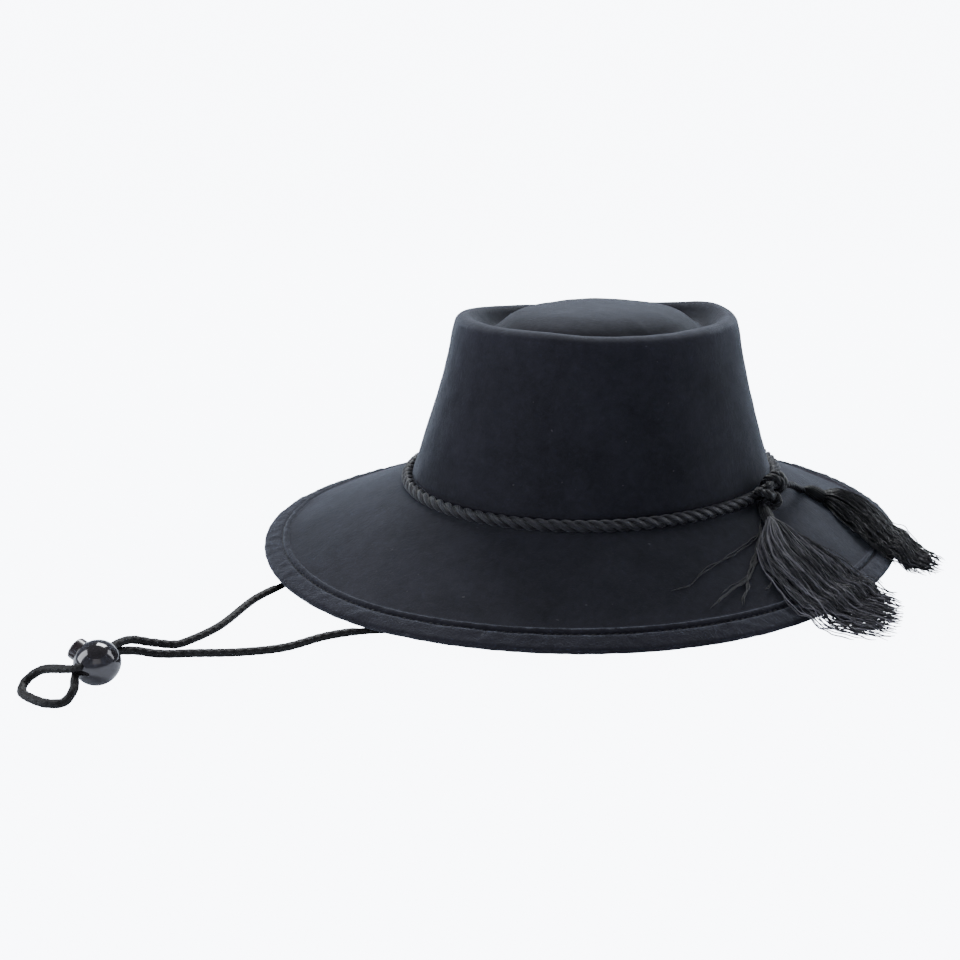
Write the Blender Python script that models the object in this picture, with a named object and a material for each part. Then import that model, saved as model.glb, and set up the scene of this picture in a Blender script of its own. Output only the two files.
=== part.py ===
"""Felt riding hat: telescope crown, stitched brim, twisted band rope tied in a knot
with two thread tassels, and a chin cord that runs through a spring toggle.

Metres, +Z up, on the surface that the brim rests on. The front of the hat is at -X.
The hat is one felt shell swept round two ovals, the head's and the brim's; all that
lies on the brim is seated on it by the same functions that make the felt.
"""
import math

import bmesh
import bpy
import numpy as np
from mathutils import Matrix, Vector

# Crown and brim
HEAD_LENGTH = 0.2034      # outside of the crown where it meets the brim
HEAD_WIDTH = 0.1704
BAND_HEIGHT = 0.0345      # top of the brim at the crown, over the resting surface
TOP_LENGTH = 0.1556       # outside of the crown under its raised ring
TOP_WIDTH = 0.1334
CROWN_HEIGHT = 0.1190     # top of the raised ring at the hat's sides
CREST_RISE = 0.0015       # how much higher the ring is at front and back
CREST_WIDTH = 0.0175      # from the crown's outside in to the bottom of the valley
SHOULDER = 0.0060         # height of the ring's rounding over the straight wall
VALLEY_DEPTH = 0.0090     # ring top down to the valley round the dome
DOME_RISE = 0.0057        # dome top over the ring top
BRIM_LENGTH = 0.3572      # to the middle of its rounded edge
BRIM_WIDTH = 0.2918
BRIM_SAG = 0.15           # how much sooner than straight the brim falls
FELT = 0.0022
HEM_WIDTH = 0.0110        # folded edge, sewn down on the brim
HEM_FOLD = 0.0018         # what the fold adds to the thickness
FRONT_LIFT = 0.0037       # the front edge rests on the chin cord
LIFT_ANGLE = 191.0        # middle of the lifted stretch, degrees round from the back
LIFT_FLAT = 20.0
LIFT_END = 85.0
PRESS = 0.0003            # how far the edge is pressed flat where it rests

# Rope, knot and tassels
GAP = 0.0003
ROPE_RADIUS = 0.0031
ROPE_PITCH = 0.0210       # one full turn of the three strands
ROPE_VALLEY = 0.80        # depth of the rope's section between strands, share of its radius
KNOT_ANGLE = -60.0        # degrees round the hat from the back
KNOT_HALF = 7.0           # half the stretch of the band that the knot fills, degrees
WRAP_RADIUS = 0.0046      # middle line of the turns round the knot's core
TAIL_RADIUS = 0.0021
TAIL_GAP = 0.0005         # from a tail's end to its tassel
TASSEL_HEAD = 0.0098      # thickness of the bound head
THREAD_FALL = 0.55        # how steeply threads drop past the brim's edge
NEAR_ANGLE = -68.0        # degrees round the hat, where the near tassel's head begins
NEAR_START = 0.0140       # its distance down the brim from the crown
NEAR_LENGTH = 0.0785
NEAR_SPREAD = 0.0540      # width of the skirt
NEAR_DEPTH = 0.0100       # thickness of the skirt
NEAR_HEADINGS = (-119.0, -61.0)   # degrees, the way it looks at its head and at its end
NEAR_BEND = 1.0           # share of the length over which it turns
FAR_ANGLE = -42.0
FAR_START = 0.0230
FAR_LENGTH = 0.0810
FAR_SPREAD = 0.0300
FAR_DEPTH = 0.0130
FAR_HEADINGS = (-30.0, -100.0)    # degrees
FAR_BEND = 0.42

# Chin cord and its toggle
CORD_RADIUS = 0.0015
BALL_RADIUS = 0.0091
HOLE_WIDTH = 0.0086       # across both strands
HOLE_HEIGHT = 0.0078      # along the plunger
HOLE_CORNER = 0.0028
BUTTON_RADIUS = 0.0045
BUTTON_PLAY = 0.0002
BUTTON_STAND = 0.0036     # how far the button stands out of the ball
BUTTON_TRAVEL = 0.0035
BUTTON_FOOT = 0.0029      # thickness under the button's slot
BUTTON_EDGE = 0.0009      # rounding of its top
SLOT_CORNER = 0.0012
FLOOR_GAP = 0.0001        # between toggle or cord and what they lie on
TOGGLE_PLACE = (-0.2730, -0.0460)
HOLE_HEADING = 218.0      # degrees, the way the hole looks towards the loop
BUTTON_TILT = 24.0        # degrees over the level

# Number of facets
HAT_SIDES = 52
TUBE_SIDES = 8
TASSEL_SIDES = 16
ROPE_STEPS = 200

# Dome: share of the valley's half size, share of the height over the valley
DOME_ROWS = (
    (0.26, 0.985),
    (0.50, 0.925),
    (0.70, 0.780),
    (0.84, 0.560),
    (0.94, 0.270),
)
# Ring: share of CREST_WIDTH in from the crown's outside, share of VALLEY_DEPTH
CREST_ROWS = (
    (1.00, 0.00),
    (0.86, 0.09),
    (0.72, 0.42),
    (0.59, 0.80),
    (0.46, 0.97),
    (0.34, 1.00),
)
# Shoulder: share of CREST_WIDTH, share of SHOULDER over the straight wall
SHOULDER_ROWS = (
    (0.20, 0.92),
    (0.07, 0.62),
    (0.00, 0.00),
)
# Wall: share of the height over the brim, share of the way from head to top oval.
# Crown and brim meet at the last row, behind the rope.
WALL_ROWS = (
    (0.82, 0.865),
    (0.62, 0.680),
    (0.42, 0.472),
    (0.24, 0.280),
    (0.11, 0.138),
    (0.03, 0.048),
)
# Brim: share of the way from the crown to the edge
BRIM_ROWS = (0.06, 0.16, 0.30, 0.45, 0.60, 0.74)
# Hem: share of HEM_WIDTH in from the edge, share of HEM_FOLD
HEM_ROWS = (
    (1.10, 0.00),
    (1.00, 0.95),
    (0.75, 1.00),
    (0.62, 0.55),
    (0.48, 1.00),
    (0.16, 1.05),
)
# Rounding of the edge, degrees over the way outwards
EDGE_ROWS = (80.0, 35.0, -10.0, -50.0, -88.0)

# Tassel: share of the length, share of the head or spread, of the head or depth
HEAD_ROWS = (
    (0.000, 0.66, 0.66),
    (0.030, 0.92, 0.92),
    (0.085, 1.00, 1.00),
    (0.135, 0.94, 0.94),
    (0.165, 0.74, 0.74),
)
SKIRT_ROWS = (
    (0.215, 0.33, 1.00),
    (0.300, 0.52, 1.05),
    (0.400, 0.72, 1.00),
    (0.510, 0.87, 0.94),
    (0.630, 0.96, 0.86),
    (0.760, 1.00, 0.78),
    (0.890, 0.97, 0.66),
)

# The chin cord's middle line, in millimetres, from the hat's near side to the toggle,
# round the small loop beyond it, and back to the hat's far side
NEAR_ROUTE = (
    (-7, -77, 29),
    (-20, -79, 15),
    (-46, -88, 4),
    (-76, -91, 1.7),
    (-110, -84, 1.6),
    (-141, -70, 1.6),
    (-163, -59.5, 1.6),
    (-180, -56, 1.6),
    (-200, -57, 1.6),
    (-218, -51.5, 1.6),
    (-237, -41.8, 1.7),
    (-248, -37.2, 2.6),
    (-257, -35.6, 5.6),
)
LOOP_ROUTE = (
    (-284.2, -56.0, 5.4),
    (-288.2, -58.4, 2.4),
    (-293.8, -56.0, 1.6),
    (-298.7, -49.0, 1.6),
    (-301.2, -41.5, 1.8),
    (-299.0, -36.6, 3.4),
    (-293.2, -37.6, 7.2),
)
FAR_ROUTE = (
    (-257, -33.0, 9.4),
    (-248, -32.6, 5.6),
    (-237, -32.0, 1.9),
    (-219, -24.8, 1.6),
    (-194, -4, 1.6),
    (-176, 5.5, 1.6),
    (-160, 17, 1.6),
    (-140, 38, 1.6),
    (-116, 60, 1.6),
    (-84, 78, 1.7),
    (-50, 86, 4),
    (-22, 79, 15),
    (-8, 77, 29),
)
CORD_POINTS = 80


def smooth(low, high, value):
    """0 under low, 1 over high and an even S between, on numbers or arrays."""
    share = np.clip((np.asarray(value, float) - low) / (high - low), 0.0, 1.0)
    return share * share * (3.0 - 2.0 * share)


def material(name, colour, roughness, metallic=0.0):
    """A Principled material of one colour."""
    made = bpy.data.materials.new(name)
    made.use_nodes = True
    shader = made.node_tree.nodes["Principled BSDF"]
    shader.inputs["Base Color"].default_value = (*colour, 1.0)
    shader.inputs["Roughness"].default_value = roughness
    shader.inputs["Metallic"].default_value = metallic
    made.diffuse_color = (*colour, 1.0)
    return made


def mesh_object(name, verts, faces, look, parent=None):
    """An object from points and faces, its faces turned outwards and shaded smooth."""
    mesh = bpy.data.meshes.new(name)
    mesh.from_pydata([tuple(map(float, v)) for v in verts], [], faces)
    work = bmesh.new()
    work.from_mesh(mesh)
    bmesh.ops.recalc_face_normals(work, faces=work.faces)
    work.to_mesh(mesh)
    work.free()
    mesh.shade_smooth()
    mesh.set_sharp_from_angle(angle=math.radians(40))
    if look is not None:
        mesh.materials.append(look)
    made = bpy.data.objects.new(name, mesh)
    bpy.context.collection.objects.link(made)
    made.parent = parent
    return made


def ring_faces(rings, sides, closed=False):
    """Quads between each closed ring of points and the next, and back to the first."""
    faces = []
    for ring in range(rings if closed else rings - 1):
        low = ring * sides
        high = (ring + 1) % rings * sides
        for side in range(sides):
            after = (side + 1) % sides
            faces.append((low + side, low + after, high + after, high + side))
    return faces


def tube_mesh(sections):
    """Points and faces of a capped tube from its closed sections, end to end."""
    verts = np.concatenate(sections)
    sides = len(sections[0])
    faces = ring_faces(len(sections), sides)
    faces.append(tuple(range(sides))[::-1])
    last = (len(sections) - 1) * sides
    faces.append(tuple(range(last, last + sides)))
    return verts, faces


def along(path):
    """Unit tangents of a path."""
    run = np.gradient(path, axis=0)
    return run / np.linalg.norm(run, axis=1, keepdims=True)


def round_tube(path, radius, sides=TUBE_SIDES):
    """Points and faces of a round tube along a path that never runs upright."""
    heading = along(path)
    across = np.cross(heading, (0.0, 0.0, 1.0))
    across /= np.linalg.norm(across, axis=1, keepdims=True)
    upward = np.cross(across, heading)
    turn = np.linspace(0.0, 2.0 * math.pi, sides, endpoint=False)
    sections = []
    for spot, side, up in zip(path, across, upward):
        sections.append(
            spot + radius * (np.outer(np.cos(turn), side) + np.outer(np.sin(turn), up))
        )
    return tube_mesh(sections)


def torus_mesh(centre, axis, radius, thickness, around=18, sides=8):
    """Points and faces of a closed ring of round section."""
    axis = np.asarray(axis, float) / np.linalg.norm(axis)
    first = np.cross(axis, (0.31, 0.17, 0.94))
    first /= np.linalg.norm(first)
    second = np.cross(axis, first)
    turn = np.linspace(0.0, 2.0 * math.pi, around, endpoint=False)
    lap = np.linspace(0.0, 2.0 * math.pi, sides, endpoint=False)
    rings = []
    for angle in turn:
        out = math.cos(angle) * first + math.sin(angle) * second
        rings.append(
            centre
            + radius * out
            + thickness * (np.outer(np.cos(lap), out) + np.outer(np.sin(lap), axis))
        )
    return np.concatenate(rings), ring_faces(around, sides, closed=True)


def smooth_path(points, count, crowding=0.0):
    """Read a smooth curve through points at count places.

    The curve is a centripetal Catmull-Rom spline. With crowding, the places lie
    closer together where the curve bends.
    """
    points = np.asarray(points, float)
    ends = np.vstack([2 * points[0] - points[1], points, 2 * points[-1] - points[-2]])
    dense = []
    for index in range(1, len(ends) - 2):
        four = ends[index - 1:index + 3]
        knots = np.zeros(4)
        for step in range(3):
            knots[step + 1] = knots[step] + np.linalg.norm(four[step + 1] - four[step]) ** 0.5
        t = np.linspace(knots[1], knots[2], 24, endpoint=False)[:, None]
        a = [
            ((knots[k + 1] - t) * four[k] + (t - knots[k]) * four[k + 1]) / (knots[k + 1] - knots[k])
            for k in range(3)
        ]
        b = [
            ((knots[k + 2] - t) * a[k] + (t - knots[k]) * a[k + 1]) / (knots[k + 2] - knots[k])
            for k in range(2)
        ]
        dense.append(((knots[2] - t) * b[0] + (t - knots[1]) * b[1]) / (knots[2] - knots[1]))
    dense.append(points[-1:])
    dense = np.concatenate(dense)
    steps = np.linalg.norm(np.diff(dense, axis=0), axis=1)
    heading = along(dense)
    bend = np.linalg.norm(np.diff(heading, axis=0), axis=1)
    weight = np.concatenate([[0.0], np.cumsum(steps + crowding * bend)])
    wanted = np.linspace(0.0, weight[-1], count)
    return np.column_stack([np.interp(wanted, weight, dense[:, k]) for k in range(3)])


# The felt's outer surface

def oval(length, width, angle):
    """Points on the oval of that length and width."""
    return 0.5 * length * np.cos(angle), 0.5 * width * np.sin(angle)


def edge_lift(angle):
    """How far the brim's edge is off the surface, round the hat."""
    off = np.degrees(angle) - LIFT_ANGLE
    off = np.abs((off + 180.0) % 360.0 - 180.0)
    return FRONT_LIFT * (1.0 - smooth(LIFT_FLAT, LIFT_END, off))


def brim_fall(share):
    """Share of the brim's fall at a share of its width."""
    return share + BRIM_SAG * share * (1.0 - share)


def brim_point(angle, share):
    """The brim's upper surface without its hem; share 0 is the crown, 1 the edge."""
    head_x, head_y = oval(HEAD_LENGTH, HEAD_WIDTH, angle)
    edge_x, edge_y = oval(BRIM_LENGTH, BRIM_WIDTH, angle)
    low = FELT + edge_lift(angle)
    height = BAND_HEIGHT + (low - BAND_HEIGHT) * brim_fall(share)
    return np.stack(
        [head_x + (edge_x - head_x) * share, head_y + (edge_y - head_y) * share, height], -1
    )


def brim_span(angle):
    """Width of the brim from crown to edge."""
    return np.linalg.norm(brim_point(angle, 1.0) - brim_point(angle, 0.0), axis=-1)


def crest_height(angle):
    """Top of the raised ring round the hat."""
    return CROWN_HEIGHT + CREST_RISE * 0.5 * (1.0 + np.cos(2.0 * angle))


def wall_point(angle, height, inset):
    """The crown's wall at a share of its height and of the way from head to top oval."""
    wall = crest_height(angle) - SHOULDER - BAND_HEIGHT
    length = HEAD_LENGTH + (TOP_LENGTH - HEAD_LENGTH) * inset
    width = HEAD_WIDTH + (TOP_WIDTH - HEAD_WIDTH) * inset
    return np.stack([*oval(length, width, angle), BAND_HEIGHT + wall * height], -1)


def felt_rows(angle):
    """Rows of points down the felt's upper surface, from dome to edge.

    Gives the points as rows by angles, for each row its share of HEM_FOLD, and the
    number of rows that belong to the crown.
    """
    rows = []
    crest = crest_height(angle)
    valley = crest - VALLEY_DEPTH
    peak = CROWN_HEIGHT + DOME_RISE
    for size, height in DOME_ROWS:
        x, y = oval(TOP_LENGTH - 2 * CREST_WIDTH, TOP_WIDTH - 2 * CREST_WIDTH, angle)
        rows.append((x * size, y * size, valley + (peak - valley) * height))
    for inset, height in CREST_ROWS:
        x, y = oval(TOP_LENGTH - 2 * CREST_WIDTH * inset, TOP_WIDTH - 2 * CREST_WIDTH * inset, angle)
        rows.append((x, y, valley + VALLEY_DEPTH * height))
    for inset, height in SHOULDER_ROWS:
        x, y = oval(TOP_LENGTH - 2 * CREST_WIDTH * inset, TOP_WIDTH - 2 * CREST_WIDTH * inset, angle)
        rows.append((x, y, crest - SHOULDER * (1.0 - height)))
    rows = [np.stack(row, -1) for row in rows]
    rows += [wall_point(angle, height, inset) for height, inset in WALL_ROWS]
    crown = len(rows)
    foot = brim_point(angle, 0.0)
    drop = np.linalg.norm(rows[-1] - foot, axis=-1, keepdims=True)
    rows.append(rows[-1] + (foot - rows[-1]) * GAP / drop)
    rows += [brim_point(angle, share) for share in (0.0, *BRIM_ROWS)]
    raised = [0.0] * len(rows)
    span = brim_span(angle)
    for inset, height in HEM_ROWS:
        rows.append(brim_point(angle, 1.0 - HEM_WIDTH * inset / span))
        raised.append(height)
    rows.append(brim_point(angle, 1.0))
    raised.append(1.0)
    return np.array(rows), np.array(raised), crown


def felt_normals(rows):
    """Unit normals of rows that run right round the hat, up and outwards."""
    down = np.gradient(rows, axis=0)
    wrapped = np.concatenate([rows[:, -1:], rows, rows[:, :1]], axis=1)
    normal = np.cross(down, wrapped[:, 2:] - wrapped[:, :-2])
    return normal / np.linalg.norm(normal, axis=-1, keepdims=True)


def felt_shells():
    """Points and faces of the crown and of the brim, two closed felt shells.

    Also gives how far both were let down so that the brim rests on z = 0.
    """
    angle = np.linspace(0.0, 2.0 * math.pi, HAT_SIDES, endpoint=False)
    rows, raised, crown = felt_rows(angle)
    normal = felt_normals(rows)
    upper = rows + normal * (HEM_FOLD * raised)[:, None, None]
    lower = rows - normal * FELT
    outward = rows[-1] - rows[-2]
    outward /= np.linalg.norm(outward, axis=-1, keepdims=True)
    half = 0.5 * (FELT + HEM_FOLD)
    middle = rows[-1] + normal[-1] * (HEM_FOLD - half)
    edge = []
    for degrees in EDGE_ROWS:
        turn = math.radians(degrees)
        edge.append(middle + half * (math.cos(turn) * outward + math.sin(turn) * normal[-1]))
    flat = int((raised == 0.0).sum())
    brim = np.array(list(upper[crown:-1]) + edge + list(lower[crown:flat:2][::-1]))
    settle = brim[:, :, 2].min() + PRESS
    brim[:, :, 2] = np.maximum(brim[:, :, 2] - settle, 0.0)
    brim_faces = ring_faces(len(brim), HAT_SIDES, closed=True)
    dome = np.array(list(upper[:crown]) + list(lower[:crown][::-2]))
    dome[:, :, 2] -= settle
    top = np.array([[0.0, 0.0, CROWN_HEIGHT + DOME_RISE - settle]])
    bottom = top - (0.0, 0.0, FELT)
    count = len(dome)
    dome_faces = ring_faces(count, HAT_SIDES)
    last = (count - 1) * HAT_SIDES
    for side in range(HAT_SIDES):
        after = (side + 1) % HAT_SIDES
        dome_faces.append((after, side, count * HAT_SIDES))
        dome_faces.append((last + side, last + after, count * HAT_SIDES + 1))
    dome = np.concatenate([dome.reshape(-1, 3), top, bottom])
    return (dome, dome_faces), (brim.reshape(-1, 3), brim_faces), settle


def profile_at(angle):
    """The felt's upper surface down one line of the hat, in 3-D, hem left out."""
    return felt_rows(np.array([angle]))[0][:, 0]


def seat(angle, radius, settle):
    """Centre of a round piece lying in the corner of crown and brim with a gap."""
    line = profile_at(angle) - (0.0, 0.0, settle)
    line = line[len(DOME_ROWS) + len(CREST_ROWS):]
    starts = line[:-1]
    runs = line[1:] - line[:-1]
    foot = brim_point(np.array([angle]), 0.0)[0] - (0.0, 0.0, settle)
    out = np.array([math.cos(angle) / HEAD_LENGTH, math.sin(angle) / HEAD_WIDTH, 0.0])
    out /= np.linalg.norm(out)
    low = 0.0
    high = 6.0 * radius
    for _ in range(40):
        reach = 0.5 * (low + high)
        spot = foot + reach * (0.80 * out + np.array([0.0, 0.0, 0.60]))
        share = np.clip(((spot - starts) * runs).sum(1) / (runs * runs).sum(1), 0.0, 1.0)
        near = np.linalg.norm(starts + runs * share[:, None] - spot, axis=1).min()
        low, high = (reach, high) if near < radius + GAP else (low, reach)
    return spot


def brim_share(x, y):
    """Angle and share of the brim's width at a place seen from above."""
    low = np.full(np.shape(x), -0.9)
    high = np.full(np.shape(x), 4.0)
    for _ in range(48):
        share = 0.5 * (low + high)
        half_x = 0.5 * (HEAD_LENGTH + (BRIM_LENGTH - HEAD_LENGTH) * share)
        half_y = 0.5 * (HEAD_WIDTH + (BRIM_WIDTH - HEAD_WIDTH) * share)
        outside = (x / half_x) ** 2 + (y / half_y) ** 2 > 1.0
        low = np.where(outside, share, low)
        high = np.where(outside, high, share)
    return np.arctan2(y / half_y, x / half_x), share


def lie_on_brim(x, y, settle):
    """Height at which a thread lies at a place: on the felt, over the edge, or down."""
    angle, share = brim_share(x, y)
    past = (share - 1.0) * brim_span(angle)
    height = brim_point(angle, np.minimum(share, 1.0))[..., 2]
    height = height + HEM_FOLD * 1.15 * smooth(-3.0 * HEM_WIDTH, -1.4 * HEM_WIDTH, past)
    fall = np.maximum(past - 0.5 * HEM_WIDTH, 0.0) * THREAD_FALL
    return np.maximum(height - settle - fall, 0.0) + GAP


# Rope, knot and tassels

def rope_path(settle):
    """The rope's middle line round the crown, open where the knot sits."""
    start = KNOT_ANGLE + KNOT_HALF
    turns = np.radians(np.linspace(start, start + 360.0 - 2.0 * KNOT_HALF, ROPE_STEPS + 1))
    return np.array([seat(angle, ROPE_RADIUS, settle) for angle in turns])


def twisted_rope(path, radius, pitch):
    """A three-strand rope: its section is a rounded triangle that turns with the pitch."""
    heading = along(path)
    across = np.cross(heading, (0.0, 0.0, 1.0))
    across /= np.linalg.norm(across, axis=1, keepdims=True)
    upward = np.cross(across, heading)
    run = np.concatenate([[0.0], np.cumsum(np.linalg.norm(np.diff(path, axis=0), axis=1))])
    turn = np.linspace(0.0, 2.0 * math.pi, 6, endpoint=False)
    shape = radius * np.where(np.arange(6) % 2 == 0, 1.0, ROPE_VALLEY)
    sections = []
    for spot, side, up, length in zip(path, across, upward, run):
        twist = turn + 2.0 * math.pi * length / pitch
        sections.append(
            spot + np.outer(shape * np.cos(twist), side) + np.outer(shape * np.sin(twist), up)
        )
    return tube_mesh(sections)


def unite(base, others):
    """Join hidden solids to base with Boolean unions."""
    for other in others:
        other.hide_render = True
        other.display_type = "WIRE"
        join = base.modifiers.new("join " + other.name, "BOOLEAN")
        join.operation = "UNION"
        join.object = other


def build_knot(ring, settle, starts, look, parent):
    """The knot: a core between the rope's ends, two turns round it and two tails."""
    bulk = WRAP_RADIUS + ROPE_RADIUS
    centre = seat(math.radians(KNOT_ANGLE), bulk, settle)
    first = ring[-1] + along(ring)[-1] * GAP
    last = ring[0] - along(ring)[0] * GAP
    heading = (last - first) / np.linalg.norm(last - first)
    lead = along(ring)[-1]
    trail = along(ring)[0]
    reach = np.linalg.norm(last - first) * 0.22
    path = smooth_path(
        [first, first + lead * reach * 0.5, centre - heading * reach * 0.6,
         centre + heading * reach * 0.6, last - trail * reach * 0.5, last],
        14,
    )
    verts, faces = round_tube(path, ROPE_RADIUS)
    knot = mesh_object("rope_knot", verts, faces, look, parent)
    upright = np.array([0.0, 0.0, 1.0])
    joined = []
    for name, shift, lean in (("turn_a", -0.85, 0.45), ("turn_b", 0.85, -0.40)):
        verts, faces = torus_mesh(
            centre + heading * ROPE_RADIUS * shift, heading + upright * lean,
            WRAP_RADIUS, ROPE_RADIUS,
        )
        joined.append(mesh_object("cut_" + name, verts, faces, None, parent))
    for name, start in zip(("near", "far"), starts):
        aim = start["spot"] - start["heading"] * TAIL_GAP
        middle = 0.5 * (centre + aim)
        middle[2] = max(
            float(lie_on_brim(middle[0], middle[1], settle)) + TAIL_RADIUS * 1.7, middle[2]
        )
        back = start["heading"] * TAIL_RADIUS
        path = np.vstack([smooth_path([centre, middle, aim - back], 8), aim])
        verts, faces = round_tube(path, TAIL_RADIUS)
        joined.append(mesh_object("cut_tail_" + name, verts, faces, None, parent))
    unite(knot, joined)
    return knot


def tassel_start(angle, distance, first_heading, settle):
    """Where a tassel's head begins on the brim and which way it looks."""
    angle = np.array([math.radians(angle)])
    spot = brim_point(angle, distance / brim_span(angle))[0]
    heading = math.radians(first_heading)
    ahead = np.array([math.cos(heading), math.sin(heading), 0.0])
    lies = float(lie_on_brim(spot[0], spot[1], settle))
    spot[2] = lies + 0.5 * HEAD_ROWS[0][2] * TASSEL_HEAD
    return {"spot": spot, "heading": ahead}


def tassel_way(start, headings, bend, length):
    """Shares of a tassel's length, its middle line from above and its heading there."""
    steps = np.linspace(0.0, 1.0, 200)
    turned = np.minimum(steps / bend, 1.0)
    heading = np.radians(headings[0] + (headings[1] - headings[0]) * turned)
    step = length / (len(steps) - 1)
    way_x = start["spot"][0] + np.cumsum(np.cos(heading)) * step
    way_y = start["spot"][1] + np.cumsum(np.sin(heading)) * step
    return steps, way_x, way_y, heading


def build_tassel(name, way, spread, depth, settle, look, parent):
    """Locks of thread under a bound head, lying on the brim and over its edge."""
    steps, way_x, way_y, heading = way
    lap = np.linspace(0.0, 2.0 * math.pi, TASSEL_SIDES, endpoint=False)
    locks = np.where(np.arange(TASSEL_SIDES) % 2 == 0, 1.0, 0.0)
    table = [(s, w * TASSEL_HEAD, h * TASSEL_HEAD, 0.0) for s, w, h in HEAD_ROWS]
    table += [(s, w * spread, h * depth, 0.13) for s, w, h in SKIRT_ROWS]
    rings = []
    for share, width, height, cut in table:
        shape = 1.0 - cut * (1.0 - locks)
        across = 0.5 * width * np.cos(lap) * shape
        reach = np.full(TASSEL_SIDES, share)
        rings.append((reach, across, height * 0.5 * (1.0 + np.sin(lap) * shape)))
    share, width, height, cut = table[-1]
    ends = 0.955 + 0.045 * locks - 0.05 * (np.cos(lap) ** 4)
    across = 0.5 * width * np.cos(lap) * (0.80 + 0.12 * locks)
    rings.append((ends, across, height * 0.5 * (1.0 + 0.55 * np.sin(lap))))
    verts = []
    for reach, across, height in rings:
        x = np.interp(reach, steps, way_x)
        y = np.interp(reach, steps, way_y)
        turn = np.interp(reach, steps, heading)
        x = x - np.sin(turn) * across
        y = y + np.cos(turn) * across
        verts.append(np.column_stack([x, y, lie_on_brim(x, y, settle) + height]))
    verts, faces = tube_mesh(verts)
    return mesh_object(name, verts, faces, look, parent)


# Chin cord and toggle

def toggle_frame():
    """The toggle's axes: X across the strands, Y along the hole, Z out of the button."""
    heading = math.radians(HOLE_HEADING)
    tilt = math.radians(BUTTON_TILT)
    hole = Vector((math.cos(heading), math.sin(heading), 0.0))
    side = Vector((math.sin(heading), -math.cos(heading), 0.0))
    button = side * math.cos(tilt) + Vector((0.0, 0.0, math.sin(tilt)))
    across = hole.cross(button)
    frame = Matrix((across, hole, button)).transposed().to_4x4()
    frame.translation = Vector((*TOGGLE_PLACE, BALL_RADIUS + FLOOR_GAP))
    return frame


def turned(name, profile, sides, look, parent):
    """A solid turned round Z from (radius, height) pairs, bottom to top."""
    turn = np.linspace(0.0, 2.0 * math.pi, sides, endpoint=False)
    rings = [
        np.column_stack([r * np.cos(turn), r * np.sin(turn), np.full(sides, z)])
        for r, z in profile
    ]
    verts, faces = tube_mesh(rings)
    return mesh_object(name, verts, faces, look, parent)


def slot_cutter(name, width, height, middle, corner, parent):
    """A long bar along Y of rounded rectangular section, for cutting."""
    section = []
    for quarter, (x, z) in enumerate(((1, 1), (-1, 1), (-1, -1), (1, -1))):
        for step in range(4):
            turn = math.radians(90 * quarter + 30 * step)
            section.append((
                x * (0.5 * width - corner) + corner * math.cos(turn),
                z * (0.5 * height - corner) + corner * math.sin(turn) + middle,
            ))
    rings = [
        np.array([(x, y, z) for x, z in section])
        for y in (-2.0 * BALL_RADIUS, 2.0 * BALL_RADIUS)
    ]
    verts, faces = tube_mesh(rings)
    return mesh_object(name, verts, faces, None, parent)


def cut(base, cutter):
    """Cut a hidden solid out of base."""
    cutter.hide_render = True
    cutter.display_type = "WIRE"
    bore = base.modifiers.new("cut " + cutter.name, "BOOLEAN")
    bore.operation = "DIFFERENCE"
    bore.object = cutter


def cord_rise():
    """Height of the strands over the hole's middle: they lie against its upper side."""
    return 0.5 * HOLE_HEIGHT - CORD_RADIUS - 2.0 * GAP


def build_toggle(looks, parent):
    """The ball with its cross hole and bore, and the slotted button in the bore."""
    profile = []
    for degrees in range(-84, 85, 12):
        turn = math.radians(degrees)
        profile.append((BALL_RADIUS * math.cos(turn), BALL_RADIUS * math.sin(turn)))
    ball = turned("stopper_ball", profile, 30, looks["shell"], parent)
    grip = cord_rise() - CORD_RADIUS - GAP
    foot = grip - BUTTON_FOOT
    bore = BUTTON_RADIUS + BUTTON_PLAY
    floor = foot - BUTTON_TRAVEL - GAP
    cut(ball, turned("cut_bore", ((bore, floor), (bore, 2 * BALL_RADIUS)), 28, None, parent))
    cut(ball, slot_cutter("cut_hole", HOLE_WIDTH, HOLE_HEIGHT, 0.0, HOLE_CORNER, parent))
    rim = math.sqrt(BALL_RADIUS ** 2 - BUTTON_RADIUS ** 2)
    tip = rim + BUTTON_STAND
    side = BUTTON_RADIUS - 0.3 * BUTTON_EDGE
    button = turned(
        "stopper_button",
        ((BUTTON_RADIUS, foot), (BUTTON_RADIUS, tip - BUTTON_EDGE),
         (side, tip - 0.3 * BUTTON_EDGE), (BUTTON_RADIUS - BUTTON_EDGE, tip)),
        28, looks["button"], parent,
    )
    slot = HOLE_HEIGHT - 2.0 * GAP
    cut(button, slot_cutter(
        "cut_slot", 4.0 * (CORD_RADIUS + GAP), slot, grip + 0.5 * slot, SLOT_CORNER, parent,
    ))
    return ball, button


def ear(side, settle):
    """Where the cord starts on the crown's inside at one side, and its next point."""
    angle = math.radians(90.0 * side)
    rows = profile_at(angle) - (0.0, 0.0, settle)
    wall = rows[len(DOME_ROWS) + len(CREST_ROWS) + len(SHOULDER_ROWS) + len(WALL_ROWS) - 2]
    inside = abs(wall[1]) - FELT * 1.06 - CORD_RADIUS * 0.45 - GAP
    start = Vector((0.0, side * inside, wall[2]))
    return start, start - Vector((0.0, side * 2.0 * CORD_RADIUS, 0.0))


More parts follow.
